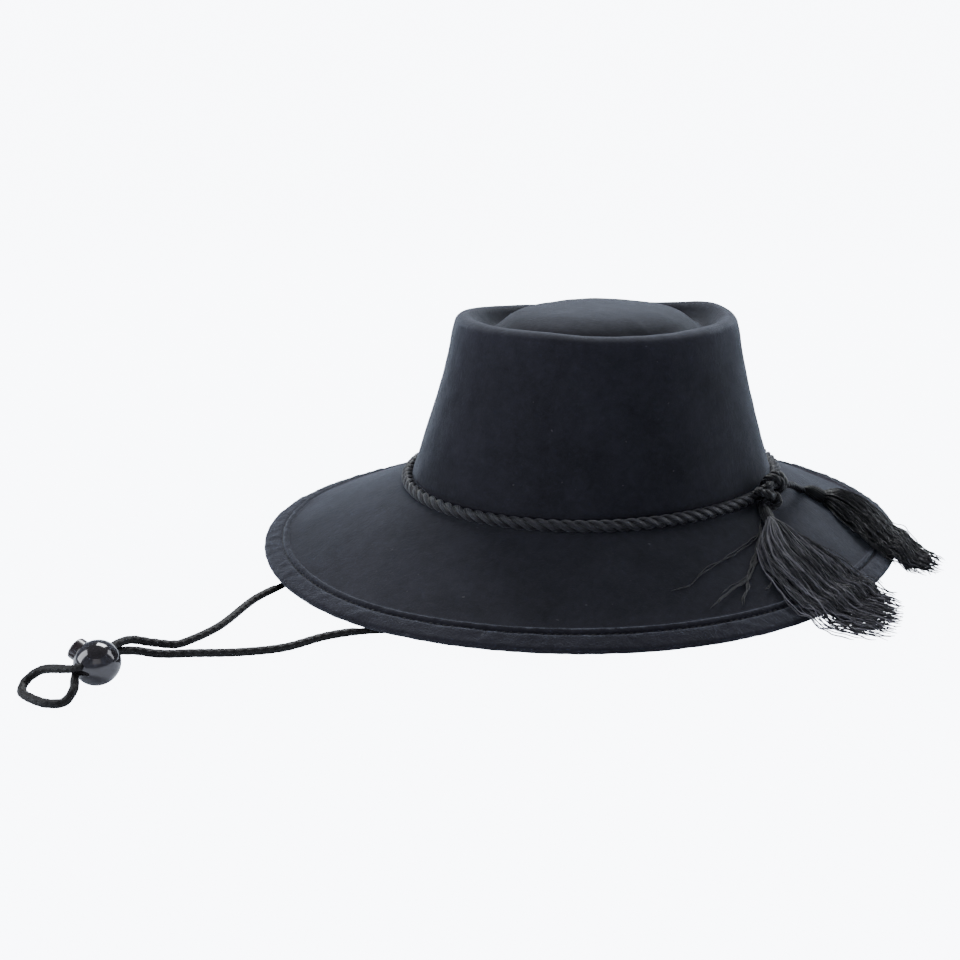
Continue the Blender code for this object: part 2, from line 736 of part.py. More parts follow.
def build_cord(settle, frame, look, parent):
    """The chin cord, one length from ear to ear through the toggle."""
    rise = cord_rise()
    apart = CORD_RADIUS + 0.5 * GAP
    mouth = BALL_RADIUS * 1.06

    def strand(side, shares):
        return [frame @ Vector((side * apart, mouth * share, rise)) for share in shares]

    points = list(ear(-1, settle))
    points += [Vector(spot) / 1000.0 for spot in NEAR_ROUTE]
    points += strand(1.0, (-1.0, -0.35, 0.35, 1.0))
    points += [Vector(spot) / 1000.0 for spot in LOOP_ROUTE]
    points += strand(-1.0, (1.0, 0.35, -0.35, -1.0))
    points += [Vector(spot) / 1000.0 for spot in FAR_ROUTE]
    points += reversed(ear(1, settle))
    path = smooth_path([tuple(spot) for spot in points], CORD_POINTS, crowding=0.012)
    path[:, 2] = np.maximum(path[:, 2], CORD_RADIUS + FLOOR_GAP)
    curve = bpy.data.curves.new("chin_cord", "CURVE")
    curve.dimensions = "3D"
    curve.bevel_depth = CORD_RADIUS
    curve.bevel_resolution = 2
    curve.use_fill_caps = True
    spline = curve.splines.new("POLY")
    spline.points.add(len(path) - 1)
    for place, spot in zip(spline.points, path):
        place.co = (*spot, 1.0)
    curve.materials.append(look)
    made = bpy.data.objects.new("chin_cord", curve)
    bpy.context.collection.objects.link(made)
    made.parent = parent
    return made


def centre_on_origin(root, pieces):
    """Move the hat so that its box, without the cord, stands centred on the origin."""
    bpy.context.view_layer.update()
    corners = np.array([
        piece.matrix_world @ Vector(corner) for piece in pieces for corner in piece.bound_box
    ])
    middle = 0.5 * (corners.min(0) + corners.max(0))
    root.location = (-middle[0], -middle[1], -corners[:, 2].min())


def build():
    """Make every piece."""
    for item in list(bpy.data.objects):
        bpy.data.objects.remove(item, do_unlink=True)
    looks = {
        "felt": material("hat_felt", (0.010, 0.010, 0.013), 0.95),
        "rope": material("band_rope", (0.016, 0.015, 0.018), 0.70),
        "thread": material("tassel_thread", (0.014, 0.013, 0.016), 0.62),
        "cord": material("cord_braid", (0.013, 0.012, 0.015), 0.72),
        "shell": material("toggle_shell", (0.030, 0.030, 0.036), 0.16),
        "button": material("toggle_button", (0.022, 0.017, 0.019), 0.22),
    }
    root = bpy.data.objects.new("hat_origin", None)
    bpy.context.collection.objects.link(root)

    crown, brim, settle = felt_shells()
    felt = [
        mesh_object("felt_crown", *crown, looks["felt"], root),
        mesh_object("felt_brim", *brim, looks["felt"], root),
    ]

    ring = rope_path(settle)
    verts, faces = twisted_rope(ring, ROPE_RADIUS, ROPE_PITCH)
    rope = mesh_object("crown_rope", verts, faces, looks["rope"], root)
    near = tassel_start(NEAR_ANGLE, NEAR_START, NEAR_HEADINGS[0], settle)
    far = tassel_start(FAR_ANGLE, FAR_START, FAR_HEADINGS[0], settle)
    knot = build_knot(ring, settle, (near, far), looks["rope"], root)
    near_way = tassel_way(near, NEAR_HEADINGS, NEAR_BEND, NEAR_LENGTH)
    far_way = tassel_way(far, FAR_HEADINGS, FAR_BEND, FAR_LENGTH)
    tassels = [
        build_tassel(
            "tassel_near", near_way, NEAR_SPREAD, NEAR_DEPTH, settle, looks["thread"], root
        ),
        build_tassel(
            "tassel_far", far_way, FAR_SPREAD, FAR_DEPTH, settle, looks["thread"], root
        ),
    ]

    frame = toggle_frame()
    toggle = bpy.data.objects.new("toggle_origin", None)
    bpy.context.collection.objects.link(toggle)
    toggle.parent = root
    toggle.matrix_local = frame
    build_toggle(looks, toggle)
    build_cord(settle, frame, looks["cord"], root)
    centre_on_origin(root, felt + [rope, knot] + tassels)


build()
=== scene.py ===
"""Looks of the felt riding hat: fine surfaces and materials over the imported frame.

Metres, +Z up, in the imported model's frame. The hat's front is at -X, its knot and
tassels are on the -Y side, and the chin cord lies out in front. Lengths in the tables
are in millimetres from the middle of the hat where the names say so.
"""
import math

import bpy
import numpy as np
from bpy.props import FloatProperty, FloatVectorProperty, IntProperty, PointerProperty
from mathutils import Matrix, Vector


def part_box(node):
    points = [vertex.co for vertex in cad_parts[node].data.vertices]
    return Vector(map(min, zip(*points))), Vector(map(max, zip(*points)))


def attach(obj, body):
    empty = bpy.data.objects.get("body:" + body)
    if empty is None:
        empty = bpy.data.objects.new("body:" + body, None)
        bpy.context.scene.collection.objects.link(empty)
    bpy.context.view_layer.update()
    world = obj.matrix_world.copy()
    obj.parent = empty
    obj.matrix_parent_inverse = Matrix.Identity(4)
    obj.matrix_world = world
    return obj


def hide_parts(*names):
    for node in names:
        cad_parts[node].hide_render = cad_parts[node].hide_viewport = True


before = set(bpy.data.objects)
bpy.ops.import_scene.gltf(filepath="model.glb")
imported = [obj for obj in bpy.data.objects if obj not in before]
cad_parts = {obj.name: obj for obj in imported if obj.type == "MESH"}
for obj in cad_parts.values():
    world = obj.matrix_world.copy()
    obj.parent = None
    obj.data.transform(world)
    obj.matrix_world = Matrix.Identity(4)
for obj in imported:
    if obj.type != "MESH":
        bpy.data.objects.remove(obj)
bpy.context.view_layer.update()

bl_info = {
    "name": "Felt riding hat",
    "version": (1, 0, 0),
    "blender": (4, 5, 0),
    "location": "View3D > Sidebar > Hat",
    "description": "Felt hat with band rope, tassels and chin cord, one operator a piece",
    "category": "Add Mesh",
}

# Felt, as in the part's solids
HEAD = (0.2034, 0.1704)          # oval of the crown's foot: length, width
TOP = (0.1556, 0.1334)           # oval under the raised ring
EDGE = (0.3572, 0.2918)          # oval of the brim's edge
BAND_HEIGHT = 0.0345
CROWN_HEIGHT = 0.1190
CREST_RISE = 0.0015
CREST_WIDTH = 0.0175
SHOULDER = 0.0060
VALLEY_DEPTH = 0.0090
DOME_RISE = 0.0057
BRIM_SAG = 0.15
FELT = 0.0022
HEM_WIDTH = 0.0110
HEM_FOLD = 0.0018
FRONT_LIFT = 0.0037
LIFT_ANGLE = 191.0
LIFT_FLAT = 20.0
LIFT_END = 85.0
PRESS = 0.0003
BACK_LIFT = 0.0034               # the brim curls up a little behind, on the left
BACK_ANGLE = 148.0
CREST_DIP = 0.0045               # the crown's ring sags a little at the back
DIP_ANGLE = 62.0
FLARE = 0.026                    # the crown's foot stands out a little on the right
FLARE_ANGLE = -26.0
DOME_SHARE = 0.955               # the dome's width in the hollow behind the ring
EDGE_ROWS = (80.0, 35.0, -10.0, -50.0, -88.0)

DOME_ROWS = ((0.26, 0.985), (0.50, 0.925), (0.70, 0.780), (0.84, 0.560), (0.94, 0.270))
CREST_ROWS = ((1.00, 0.00), (0.86, 0.09), (0.72, 0.42), (0.59, 0.80), (0.46, 0.97), (0.34, 1.00))
SHOULDER_ROWS = ((0.20, 0.92), (0.07, 0.62), (0.00, 0.00))
WALL_ROWS = (
    (0.82, 0.865), (0.62, 0.680), (0.42, 0.472), (0.24, 0.280), (0.11, 0.138), (0.03, 0.048),
)
BRIM_ROWS = (0.06, 0.16, 0.30, 0.45, 0.60, 0.74)

# Rope, knot and tassels
GAP = 0.0003
ROPE_RADIUS = 0.0031
ROPE_PITCH = 0.0185
ROPE_SINK = 0.0015               # how far the rope has pressed itself into the soft felt
KNOT_ANGLE = -60.0
KNOT_HALF = 7.0
WRAP_RADIUS = 0.0046
TAIL_RADIUS = 0.0021
TASSEL_HEAD = 0.0098
THREAD_FALL = 0.55
# share of a tassel's length, width as share of its spread, height as share of its depth
NEAR_FAN = (
    (0.10, 0.07, 0.55), (0.165, 0.20, 0.80), (0.215, 0.40, 1.00), (0.30, 0.72, 1.05),
    (0.40, 0.90, 1.00), (0.51, 0.97, 0.94), (0.63, 1.00, 0.86), (0.76, 1.00, 0.78),
    (0.89, 0.96, 0.66), (1.00, 0.92, 0.50),
)
FAR_FAN = (
    (0.10, 0.14, 0.50), (0.165, 0.45, 0.85), (0.215, 0.76, 1.05), (0.30, 0.96, 1.12),
    (0.40, 1.02, 1.05), (0.51, 1.00, 0.98), (0.63, 0.96, 0.90), (0.76, 0.88, 0.80),
    (0.89, 0.76, 0.70), (1.00, 0.66, 0.60),
)
# shine lifts the lighter threads' tone: high on the near tassel, painting glints on single threads, and low
# on the far tassel as painted shade
NEAR = {
    "angle": -68.0, "start": 0.0095, "length": 0.0825, "spread": 0.0540, "depth": 0.0100,
    "headings": (-114.0, -54.0), "bend": 1.0, "fan": NEAR_FAN, "head": 0.0062,
    "shine": 54.0,
}
FAR = {
    "angle": -42.0, "start": 0.0215, "length": 0.0760, "spread": 0.0330, "depth": 0.0130,
    "headings": (-26.0, -92.0), "bend": 0.50, "fan": FAR_FAN, "head": 0.0074,
    "shine": 13.0,
}

# Chin cord and toggle
BALL_RADIUS = 0.0091
HOLE_WIDTH = 0.0086
HOLE_HEIGHT = 0.0078
HOLE_CORNER = 0.0028
BUTTON_RADIUS = 0.0045
BUTTON_PLAY = 0.0002
BUTTON_STAND = 0.0036
BUTTON_TRAVEL = 0.0035
BUTTON_FOOT = 0.0029
BUTTON_EDGE = 0.0009
SLOT_CORNER = 0.0012
FLOOR_GAP = 0.0001
CORD_RADIUS = 0.0015
SQUEEZED = 0.505                 # half thickness of the cord as share of its diameter
FULL = 0.610
TOGGLE_PLACE = (-0.2730, -0.0460)
HOLE_HEADING = 218.0
BUTTON_TILT = 24.0

# Middle line of the chin cord, millimetres from the middle of the hat
NEAR_ROUTE = (
    (-7, -77, 29),
    (-20, -79, 15),
    (-46, -88, 4),
    (-76, -91, 1.7),
    (-110, -84, 1.6),
    (-141, -70, 1.6),
    (-163, -59.5, 1.6),
    (-180, -56, 1.6),
    (-200, -57, 1.6),
    (-218, -51.5, 1.6),
    (-237, -41.8, 1.7),
    (-248, -37.2, 2.6),
    (-257, -35.6, 5.6),
)
LOOP_ROUTE = (
    (-284.2, -56.0, 5.4),
    (-288.2, -58.4, 2.4),
    (-293.8, -56.0, 1.6),
    (-298.7, -49.0, 1.6),
    (-301.2, -41.5, 1.8),
    (-299.0, -36.6, 3.4),
    (-293.2, -37.6, 7.2),
)
FAR_ROUTE = (
    (-257, -33.0, 9.4),
    (-248, -32.6, 5.6),
    (-237, -32.0, 1.9),
    (-219, -24.8, 1.6),
    (-194, -4, 1.6),
    (-176, 5.5, 1.6),
    (-160, 17, 1.6),
    (-140, 38, 1.6),
    (-116, 60, 1.6),
    (-84, 78, 1.7),
    (-50, 86, 4),
    (-22, 79, 15),
    (-8, 77, 29),
)

_low, _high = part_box("felt_brim")
HAT = np.array([0.5 * (_low.x + _high.x), 0.5 * (_low.y + _high.y), 0.0])


# Meshes

def smooth(low, high, value):
    """0 under low, 1 over high, and an even S between."""
    share = np.clip((np.asarray(value, float) - low) / (high - low), 0.0, 1.0)
    return share * share * (3.0 - 2.0 * share)


def lattice(rows, columns, wrap_rows=False, wrap_columns=True):
    """Quads of a grid of points, and the row and column of each of their corners."""
    row = np.arange(rows if wrap_rows else rows - 1)
    column = np.arange(columns if wrap_columns else columns - 1)
    row, column = (part.ravel() for part in np.meshgrid(row, column, indexing="ij"))
    corner_row = np.stack([row, row, row + 1, row + 1], -1)
    corner_column = np.stack([column, column + 1, column + 1, column], -1)
    faces = (corner_row % rows) * columns + corner_column % columns
    return faces, corner_row, corner_column


def mesh_piece(name, verts, quads, look, caps=(), uv=None, values=None, angle=180.0):
    """A mesh object from arrays: quads, further faces as tuples, UV corners, values."""
    verts = np.asarray(verts, float).reshape(-1, 3)
    quads = np.asarray(quads, int).reshape(-1, 4)
    mesh = bpy.data.meshes.new(name)
    mesh.vertices.add(len(verts))
    mesh.vertices.foreach_set("co", verts.ravel())
    sizes = np.concatenate([np.full(len(quads), 4), [len(cap) for cap in caps]]).astype(int)
    corners = np.concatenate([quads.ravel()] + [np.asarray(cap, int) for cap in caps])
    mesh.loops.add(len(corners))
    mesh.loops.foreach_set("vertex_index", corners)
    mesh.polygons.add(len(sizes))
    mesh.polygons.foreach_set("loop_start", np.concatenate([[0], np.cumsum(sizes)[:-1]]))
    if uv is not None:
        layer = mesh.uv_layers.new(name="UVMap")
        flat = np.zeros((len(corners), 2))
        flat[:quads.size] = np.asarray(uv, float).reshape(-1, 2)
        layer.data.foreach_set("uv", flat.ravel())
    for label, data in (values or {}).items():
        attribute = mesh.attributes.new(label, "FLOAT", "POINT")
        attribute.data.foreach_set("value", np.asarray(data, np.float32).ravel())
    mesh.update(calc_edges=True)
    mesh.validate()
    mesh.shade_smooth()
    if angle < 180.0:
        mesh.set_sharp_from_angle(angle=math.radians(angle))
    if look is not None:
        mesh.materials.append(look)
    piece = bpy.data.objects.new(name, mesh)
    bpy.context.scene.collection.objects.link(piece)
    return piece


def along(path):
    """Unit tangents along the last but one axis."""
    run = np.gradient(path, axis=-2)
    return run / np.linalg.norm(run, axis=-1, keepdims=True)


def carried_frame(path):
    """Side and up vectors carried along one path without twist."""
    heading = along(path)
    side = np.zeros_like(heading)
    first = np.cross(heading[0], (0.0, 0.0, 1.0))
    if np.linalg.norm(first) < 1e-3:
        first = np.cross(heading[0], (0.0, 1.0, 0.0))
    side[0] = first / np.linalg.norm(first)
    for index in range(1, len(path)):
        moved = side[index - 1] - heading[index] * (side[index - 1] @ heading[index])
        side[index] = moved / np.linalg.norm(moved)
    return side, np.cross(side, heading)


def tube_points(path, side, up, radius, sides):
    """Points of a tube: path + radius * (cos v * side + sin v * up), v round it."""
    lap = np.linspace(0.0, 2.0 * math.pi, sides, endpoint=False)
    around = np.cos(lap)[:, None] * side[..., None, :] + np.sin(lap)[:, None] * up[..., None, :]
    return path[..., None, :] + np.asarray(radius)[..., None] * around


def tube_piece(name, path, radius, sides, look, frames=None):
    """A closed tube along a path; radius is a number or an array of points by sides."""
    side, up = carried_frame(path) if frames is None else frames
    size = np.broadcast_to(np.asarray(radius, float), (len(path), sides))
    verts = tube_points(path, side, up, size, sides)
    quads, row, column = lattice(len(path), sides)
    run = np.concatenate([[0.0], np.cumsum(np.linalg.norm(np.diff(path, axis=0), axis=1))])
    uv = np.stack([run[row], column / sides], -1)
    last = (len(path) - 1) * sides
    caps = [np.arange(sides)[::-1], np.arange(last, last + sides)]
    return mesh_piece(name, verts, quads[:, ::-1], look, [c[::-1] for c in caps], uv[:, ::-1])


def many_tubes(name, paths, radii, sides, look, seed=1, axis=None):
    """Many closed tubes of the same number of points: paths is tubes by points by 3.

    Each tube gets a random number from 0 to 1 of its own, mostly low, as "strand". Where the tubes are laid
    round an axis, it is how far out each point is instead, which paints shade between the strands and light
    on their outer sides.
    """
    count, length = paths.shape[:2]
    heading = along(paths)
    side = np.cross(heading, (0.05, 0.02, 1.0))
    side /= np.linalg.norm(side, axis=-1, keepdims=True)
    up = np.cross(side, heading)
    size = np.broadcast_to(radii[..., None], (count, length, sides))
    verts = tube_points(paths, side, up, size, sides)
    quads, row, column = lattice(length, sides)
    shift = (np.arange(count) * length * sides)[:, None, None]
    quads = (quads[None] + shift).reshape(-1, 4)
    run = np.concatenate(
        [np.zeros((count, 1)), np.cumsum(np.linalg.norm(np.diff(paths, axis=1), axis=-1), axis=1)],
        axis=1,
    )
    offset = np.arange(count)[:, None, None] * 0.37
    uv = np.stack([run[:, row] + offset, np.broadcast_to(column / sides, (count, *column.shape))], -1)
    first = np.arange(sides)
    last = first + (length - 1) * sides
    caps = []
    for tube in range(count):
        caps.append(first + tube * length * sides)
        caps.append(last[::-1] + tube * length * sides)
    own = np.random.default_rng(seed).uniform(0.0, 1.0, count) ** 4.0
    own = np.repeat(own, length * sides)
    # laid round an axis, the tone goes by how far out each point is: painted shade in the gaps between
    # strands, painted light on their outer sides
    if axis is not None:
        away = np.linalg.norm(verts - axis[None, :, None, :], axis=-1)
        own = (away / away.max()).ravel() ** 4.0
    return mesh_piece(
        name, verts, quads[:, ::-1], look, caps, uv.reshape(-1, 4, 2)[:, ::-1],
        {"strand": own},
    )


def spline(points, count, crowding=0.0):
    """A centripetal Catmull-Rom curve through points, read at count places.

    With crowding, the places lie closer together where the curve bends.
    """
    points = np.asarray(points, float)
    ends = np.vstack([2 * points[0] - points[1], points, 2 * points[-1] - points[-2]])
    dense = [between(ends[i - 1:i + 3], 24) for i in range(1, len(ends) - 2)]
    dense = np.concatenate(dense + [points[-1:]])
    steps = np.linalg.norm(np.diff(dense, axis=0), axis=1)
    bend = np.linalg.norm(np.diff(along(dense), axis=0), axis=1)
    weight = np.concatenate([[0.0], np.cumsum(steps + crowding * bend)])
    wanted = np.linspace(0.0, weight[-1], count)
    return np.stack([np.interp(wanted, weight, dense[:, k]) for k in range(3)], -1)


def between(four, count):
    """count places from the second to the third of four points, or rows of points.

    Centripetal Catmull-Rom: the knots are spaced by the root of the distances.
    """
    gaps = np.maximum(np.linalg.norm(np.diff(four, axis=0), axis=-1) ** 0.5, 1e-6)
    knots = np.concatenate([np.zeros_like(gaps[:1]), np.cumsum(gaps, axis=0)])[..., None]
    share = np.linspace(0.0, 1.0, count, endpoint=False)
    share = share.reshape(-1, *([1] * (four.ndim - 1)))
    t = knots[1] + (knots[2] - knots[1]) * share
    a = [
        ((knots[k + 1] - t) * four[k] + (t - knots[k]) * four[k + 1]) / (knots[k + 1] - knots[k])
        for k in range(3)
    ]
    b = [
        ((knots[k + 2] - t) * a[k] + (t - knots[k]) * a[k + 1]) / (knots[k + 2] - knots[k])
        for k in range(2)
    ]
    return ((knots[2] - t) * b[0] + (t - knots[1]) * b[1]) / (knots[2] - knots[1])


def ripple(points, wavelength, seed, count=28):
    """Soft random relief from -1 to 1: a mean of sine waves in random directions."""
    chance = np.random.default_rng(seed)
    way = chance.normal(size=(count, 3))
    way /= np.linalg.norm(way, axis=1, keepdims=True)
    way *= 2.0 * math.pi / (wavelength * chance.uniform(0.7, 1.5, (count, 1)))
    phase = chance.uniform(0.0, 2.0 * math.pi, count)
    waves = np.sin(points @ way.T + phase)
    return waves.sum(-1) / math.sqrt(count) * 0.8


# The felt's surface

def oval(size, angle):
    """Point on the oval (length, width) at that angle."""
    return 0.5 * size[0] * np.cos(angle), 0.5 * size[1] * np.sin(angle)


def off_angle(angle, centre):
    """Degrees between angles and a centre, from 0 to 180."""
    return np.abs((np.degrees(angle) - centre + 180.0) % 360.0 - 180.0)


def edge_lift(angle):
    """How far the brim's edge is off the floor: it rests on the cord at the front."""
    front = FRONT_LIFT * (1.0 - smooth(LIFT_FLAT, LIFT_END, off_angle(angle, LIFT_ANGLE)))
    return front + BACK_LIFT * (1.0 - smooth(0.0, 62.0, off_angle(angle, BACK_ANGLE)))


def flare(angle, inset=0.0):
    """Factor on the crown's oval: largest at its foot and gone under the ring."""
    return 1.0 + FLARE * (1.0 - inset) * (1.0 - smooth(0.0, 75.0, off_angle(angle, FLARE_ANGLE)))


def brim_point(angle, share):
    """The brim's top without its hem: share 0 is the crown's foot, 1 the edge."""
    head_x, head_y = np.array(oval(HEAD, angle)) * flare(angle)
    edge_x, edge_y = oval(EDGE, angle)
    low = FELT + edge_lift(angle)
    fall = share + BRIM_SAG * share * (1.0 - share)
    height = BAND_HEIGHT + (low - BAND_HEIGHT) * fall
    return np.stack(
        [head_x + (edge_x - head_x) * share, head_y + (edge_y - head_y) * share, height], -1
    )


def brim_span(angle):
    """Width of the brim from crown to edge."""
    return np.linalg.norm(brim_point(angle, 1.0) - brim_point(angle, 0.0), axis=-1)


def crown_rows(angle):
    """Rows down the crown: dome, valley, raised ring, shoulder, wall and its foot."""
    crest = CROWN_HEIGHT + CREST_RISE * 0.5 * (1.0 + np.cos(2.0 * angle))
    crest = crest - CREST_DIP * (1.0 - smooth(10.0, 80.0, off_angle(angle, DIP_ANGLE)))
    valley = crest - VALLEY_DEPTH
    peak = CROWN_HEIGHT + DOME_RISE
    rows = []
    for size, height in DOME_ROWS:
        x, y = oval((TOP[0] - 2 * CREST_WIDTH, TOP[1] - 2 * CREST_WIDTH), angle)
        size = size * DOME_SHARE
        rows.append(np.stack([x * size, y * size, valley + (peak - valley) * height], -1))
    for inset, height in CREST_ROWS:
        x, y = oval((TOP[0] - 2 * CREST_WIDTH * inset, TOP[1] - 2 * CREST_WIDTH * inset), angle)
        rows.append(np.stack([x, y, valley + VALLEY_DEPTH * height], -1))
    for inset, height in SHOULDER_ROWS:
        x, y = oval((TOP[0] - 2 * CREST_WIDTH * inset, TOP[1] - 2 * CREST_WIDTH * inset), angle)
        rows.append(np.stack([x, y, crest - SHOULDER * (1.0 - height)], -1))
    wall = crest - SHOULDER - BAND_HEIGHT
    for height, inset in WALL_ROWS:
        size = [HEAD[k] + (TOP[k] - HEAD[k]) * inset for k in (0, 1)]
        x, y = np.array(oval(size, angle)) * flare(angle, inset)
        rows.append(np.stack([x, y, BAND_HEIGHT + wall * height], -1))
    return rows


def settle():
    """How far the solids' felt was let down so that its edge rests on the floor."""
    angle = np.linspace(0.0, 2.0 * math.pi, 52, endpoint=False)
    edge = brim_point(angle, 1.0)
    inner = brim_point(angle, 1.0 - 0.16 * HEM_WIDTH / brim_span(angle))
    out = edge - inner
    out /= np.linalg.norm(out, axis=-1, keepdims=True)
    around = np.roll(edge, -1, 0) - np.roll(edge, 1, 0)
    normal = np.cross(out, around)
    normal /= np.linalg.norm(normal, axis=-1, keepdims=True)
    half = 0.5 * (FELT + HEM_FOLD)
    middle = edge + normal * (HEM_FOLD - half)
    low = 1.0
    for degrees in EDGE_ROWS:
        turn = math.radians(degrees)
        spot = middle + half * (math.cos(turn) * out + math.sin(turn) * normal)
        low = min(low, float(spot[:, 2].min()))
    return low + PRESS


SETTLE = settle()


def surface_normals(rows):
    """Unit normals, up and outwards, of rows that run right round."""
    down = np.gradient(rows, axis=0)
    wrapped = np.concatenate([rows[:, -1:], rows, rows[:, :1]], axis=1)
    normal = np.cross(down, wrapped[:, 2:] - wrapped[:, :-2])
    return normal / np.maximum(np.linalg.norm(normal, axis=-1, keepdims=True), 1e-12)


def refined(rows, steps):
    """Rows of a smooth surface through given rows, steps places in each gap."""
    rows = [np.asarray(row) for row in rows]
    rows = [2 * rows[0] - rows[1]] + rows + [2 * rows[-1] - rows[-2]]
    rows = np.array(rows)
    parts = [between(rows[i - 1:i + 3], steps[i - 1]) for i in range(1, len(rows) - 2)]
    return np.concatenate(parts + [rows[-2][None]])


def place(points):
    """Points about the middle of the hat, let down on the floor, in the row frame."""
    return points + HAT - (0.0, 0.0, SETTLE)


def profile_at(angle):
    """The felt's upper side down one line of the hat, hem left out."""
    angle = np.array([angle])
    rows = crown_rows(angle)
    rows += [brim_point(angle, share) for share in (0.0, *BRIM_ROWS, 0.86, 1.0)]
    return np.array(rows)[:, 0]


def seat(angle, radius):
    """Middle of a round piece lying in the corner of crown and brim with a gap."""
    line = profile_at(angle)[len(DOME_ROWS) + len(CREST_ROWS):]
    starts = line[:-1]
    runs = line[1:] - line[:-1]
    foot = brim_point(np.array([angle]), 0.0)[0]
    out = np.array([math.cos(angle) / HEAD[0], math.sin(angle) / HEAD[1], 0.0])
    out /= np.linalg.norm(out)
    low = 0.0
    high = 6.0 * radius
    for _ in range(40):
        reach = 0.5 * (low + high)
        spot = foot + reach * (0.80 * out + np.array([0.0, 0.0, 0.60]))
        share = np.clip(((spot - starts) * runs).sum(1) / (runs * runs).sum(1), 0.0, 1.0)
        near = np.linalg.norm(starts + runs * share[:, None] - spot, axis=1).min()
        low, high = (reach, high) if near < radius + GAP else (low, reach)
    return spot


def brim_share(x, y):
    """Angle and share of the brim's width at a place seen from above."""
    low = np.full(np.shape(x), -0.9)
    high = np.full(np.shape(x), 4.0)
    for _ in range(40):
        share = 0.5 * (low + high)
        half_x = 0.5 * (HEAD[0] + (EDGE[0] - HEAD[0]) * share)
        half_y = 0.5 * (HEAD[1] + (EDGE[1] - HEAD[1]) * share)
        outside = (x / half_x) ** 2 + (y / half_y) ** 2 > 1.0
        low = np.where(outside, share, low)
        high = np.where(outside, high, share)
    return np.arctan2(y / half_y, x / half_x), share


def lie_on_brim(x, y):
    """Height at which a thread lies: on the felt, over the edge, or falling past it."""
    angle, share = brim_share(x, y)
    past = (share - 1.0) * brim_span(angle)
    height = brim_point(angle, np.minimum(share, 1.0))[..., 2]
    height = height + HEM_FOLD * 1.15 * smooth(-3.0 * HEM_WIDTH, -1.4 * HEM_WIDTH, past)
    fall = np.maximum(past - 0.5 * HEM_WIDTH, 0.0) * THREAD_FALL
    return np.maximum(height - fall, SETTLE) + GAP


# Materials

class Value:
    """A shader socket that takes part in sums: + - * / with sockets and numbers."""

    def __init__(self, graph, socket):
        self.graph = graph
        self.socket = socket

    def _with(self, operation, *others):
        return self.graph.node(
            "ShaderNodeMath", {"operation": operation}, {k: v for k, v in enumerate(others)}
        )

    def __add__(self, other):
        return self._with("ADD", self, other)

    def __radd__(self, other):
        return self._with("ADD", other, self)

    def __sub__(self, other):
        return self._with("SUBTRACT", self, other)

    def __rsub__(self, other):
        return self._with("SUBTRACT", other, self)

    def __mul__(self, other):
        return self._with("MULTIPLY", self, other)

    def __rmul__(self, other):
        return self._with("MULTIPLY", other, self)

    def __truediv__(self, other):
        return self._with("DIVIDE", self, other)

    def __rtruediv__(self, other):
        return self._with("DIVIDE", other, self)

    def sine(self):
        return self._with("SINE", self)

    def size(self):
        return self._with("ABSOLUTE", self)

    def power(self, exponent):
        return self._with("POWER", self, exponent)

    def largest(self, other):
        return self._with("MAXIMUM", self, other)

    def part(self, name):
        """Another output of the same node."""
        return Value(self.graph, self.socket.node.outputs[name])


class Graph:
    """The nodes of one Principled material."""

    def __init__(self, name, **constants):
        self.material = bpy.data.materials.new(name)
        self.material.use_nodes = True
        self.tree = self.material.node_tree
        self.shader = self.tree.nodes["Principled BSDF"]
        for label, value in constants.items():
            socket = self.shader.inputs[label.replace("_", " ")]
            socket.default_value = (*value, 1.0) if hasattr(value, "__len__") else value

    def node(self, kind, settings=None, inputs=None, output=0):
        """A node of that type: its settings first, then values or links of its sockets."""
        made = self.tree.nodes.new(kind)
        for label, value in (settings or {}).items():
            if label == "stops":
                self.set_stops(made, value)
            else:
                setattr(made, label, value)
        for label, value in (inputs or {}).items():
            self.feed(made.inputs[label], value)
        return Value(self, made.outputs[output])

    def set_stops(self, ramp_node, stops):
        """A colour ramp's places and grey levels."""
        ramp = ramp_node.color_ramp
        while len(ramp.elements) < len(stops):
            ramp.elements.new(0.5)
        for element, (spot, level) in zip(ramp.elements, stops):
            element.position = spot
            element.color = (level, level, level, 1.0)

    def feed(self, socket, value):
        """Link a socket, or set its value."""
        if isinstance(value, Value):
            self.tree.links.new(value.socket, socket)
        elif hasattr(value, "__len__") and len(value) == 3 and socket.type == "RGBA":
            socket.default_value = (*value, 1.0)
        else:
            socket.default_value = value

    def place(self, scale=(1.0, 1.0, 1.0), turn=(0.0, 0.0, 0.0)):
        """Object coordinates, turned and scaled."""
        spot = self.node("ShaderNodeTexCoord", output="Object")
        return self.node(
            "ShaderNodeMapping", {}, {"Vector": spot, "Scale": scale, "Rotation": turn}
        )

    def surface(self):
        """The piece's own UV map: length along and share round."""
        spot = self.node("ShaderNodeUVMap", {"uv_map": "UVMap"})
        axes = self.node("ShaderNodeSeparateXYZ", {}, {0: spot})
        return axes, axes.part("Y")

    def noise(self, spot, scale, detail=2.0, rough=0.5, distortion=0.0):
        """Noise from 0 to 1."""
        return self.node(
            "ShaderNodeTexNoise", {},
            {"Vector": spot, "Scale": scale, "Detail": detail, "Roughness": rough,
             "Distortion": distortion},
        )

    def ramp(self, value, *stops):
        """A value sent through stops of (place, level)."""
        return self.node("ShaderNodeValToRGB", {"stops": stops}, {0: value})

    def blend(self, share, first, second):
        """A colour between two colours."""
        made = self.tree.nodes.new("ShaderNodeMix")
        made.data_type = "RGBA"
        self.feed(made.inputs[0], share)
        self.feed(made.inputs[6], first)
        self.feed(made.inputs[7], second)
        return Value(self, made.outputs[2])

    def colour(self, value):
        self.feed(self.shader.inputs["Base Color"], value)

    def roughness(self, value):
        self.feed(self.shader.inputs["Roughness"], value)

    def bump(self, height, distance, strength=1.0):
        """Relief of that height in metres."""
        made = self.node(
            "ShaderNodeBump", {},
            {"Height": height, "Distance": distance, "Strength": strength},
        )
        self.feed(self.shader.inputs["Normal"], made)
        return self.material


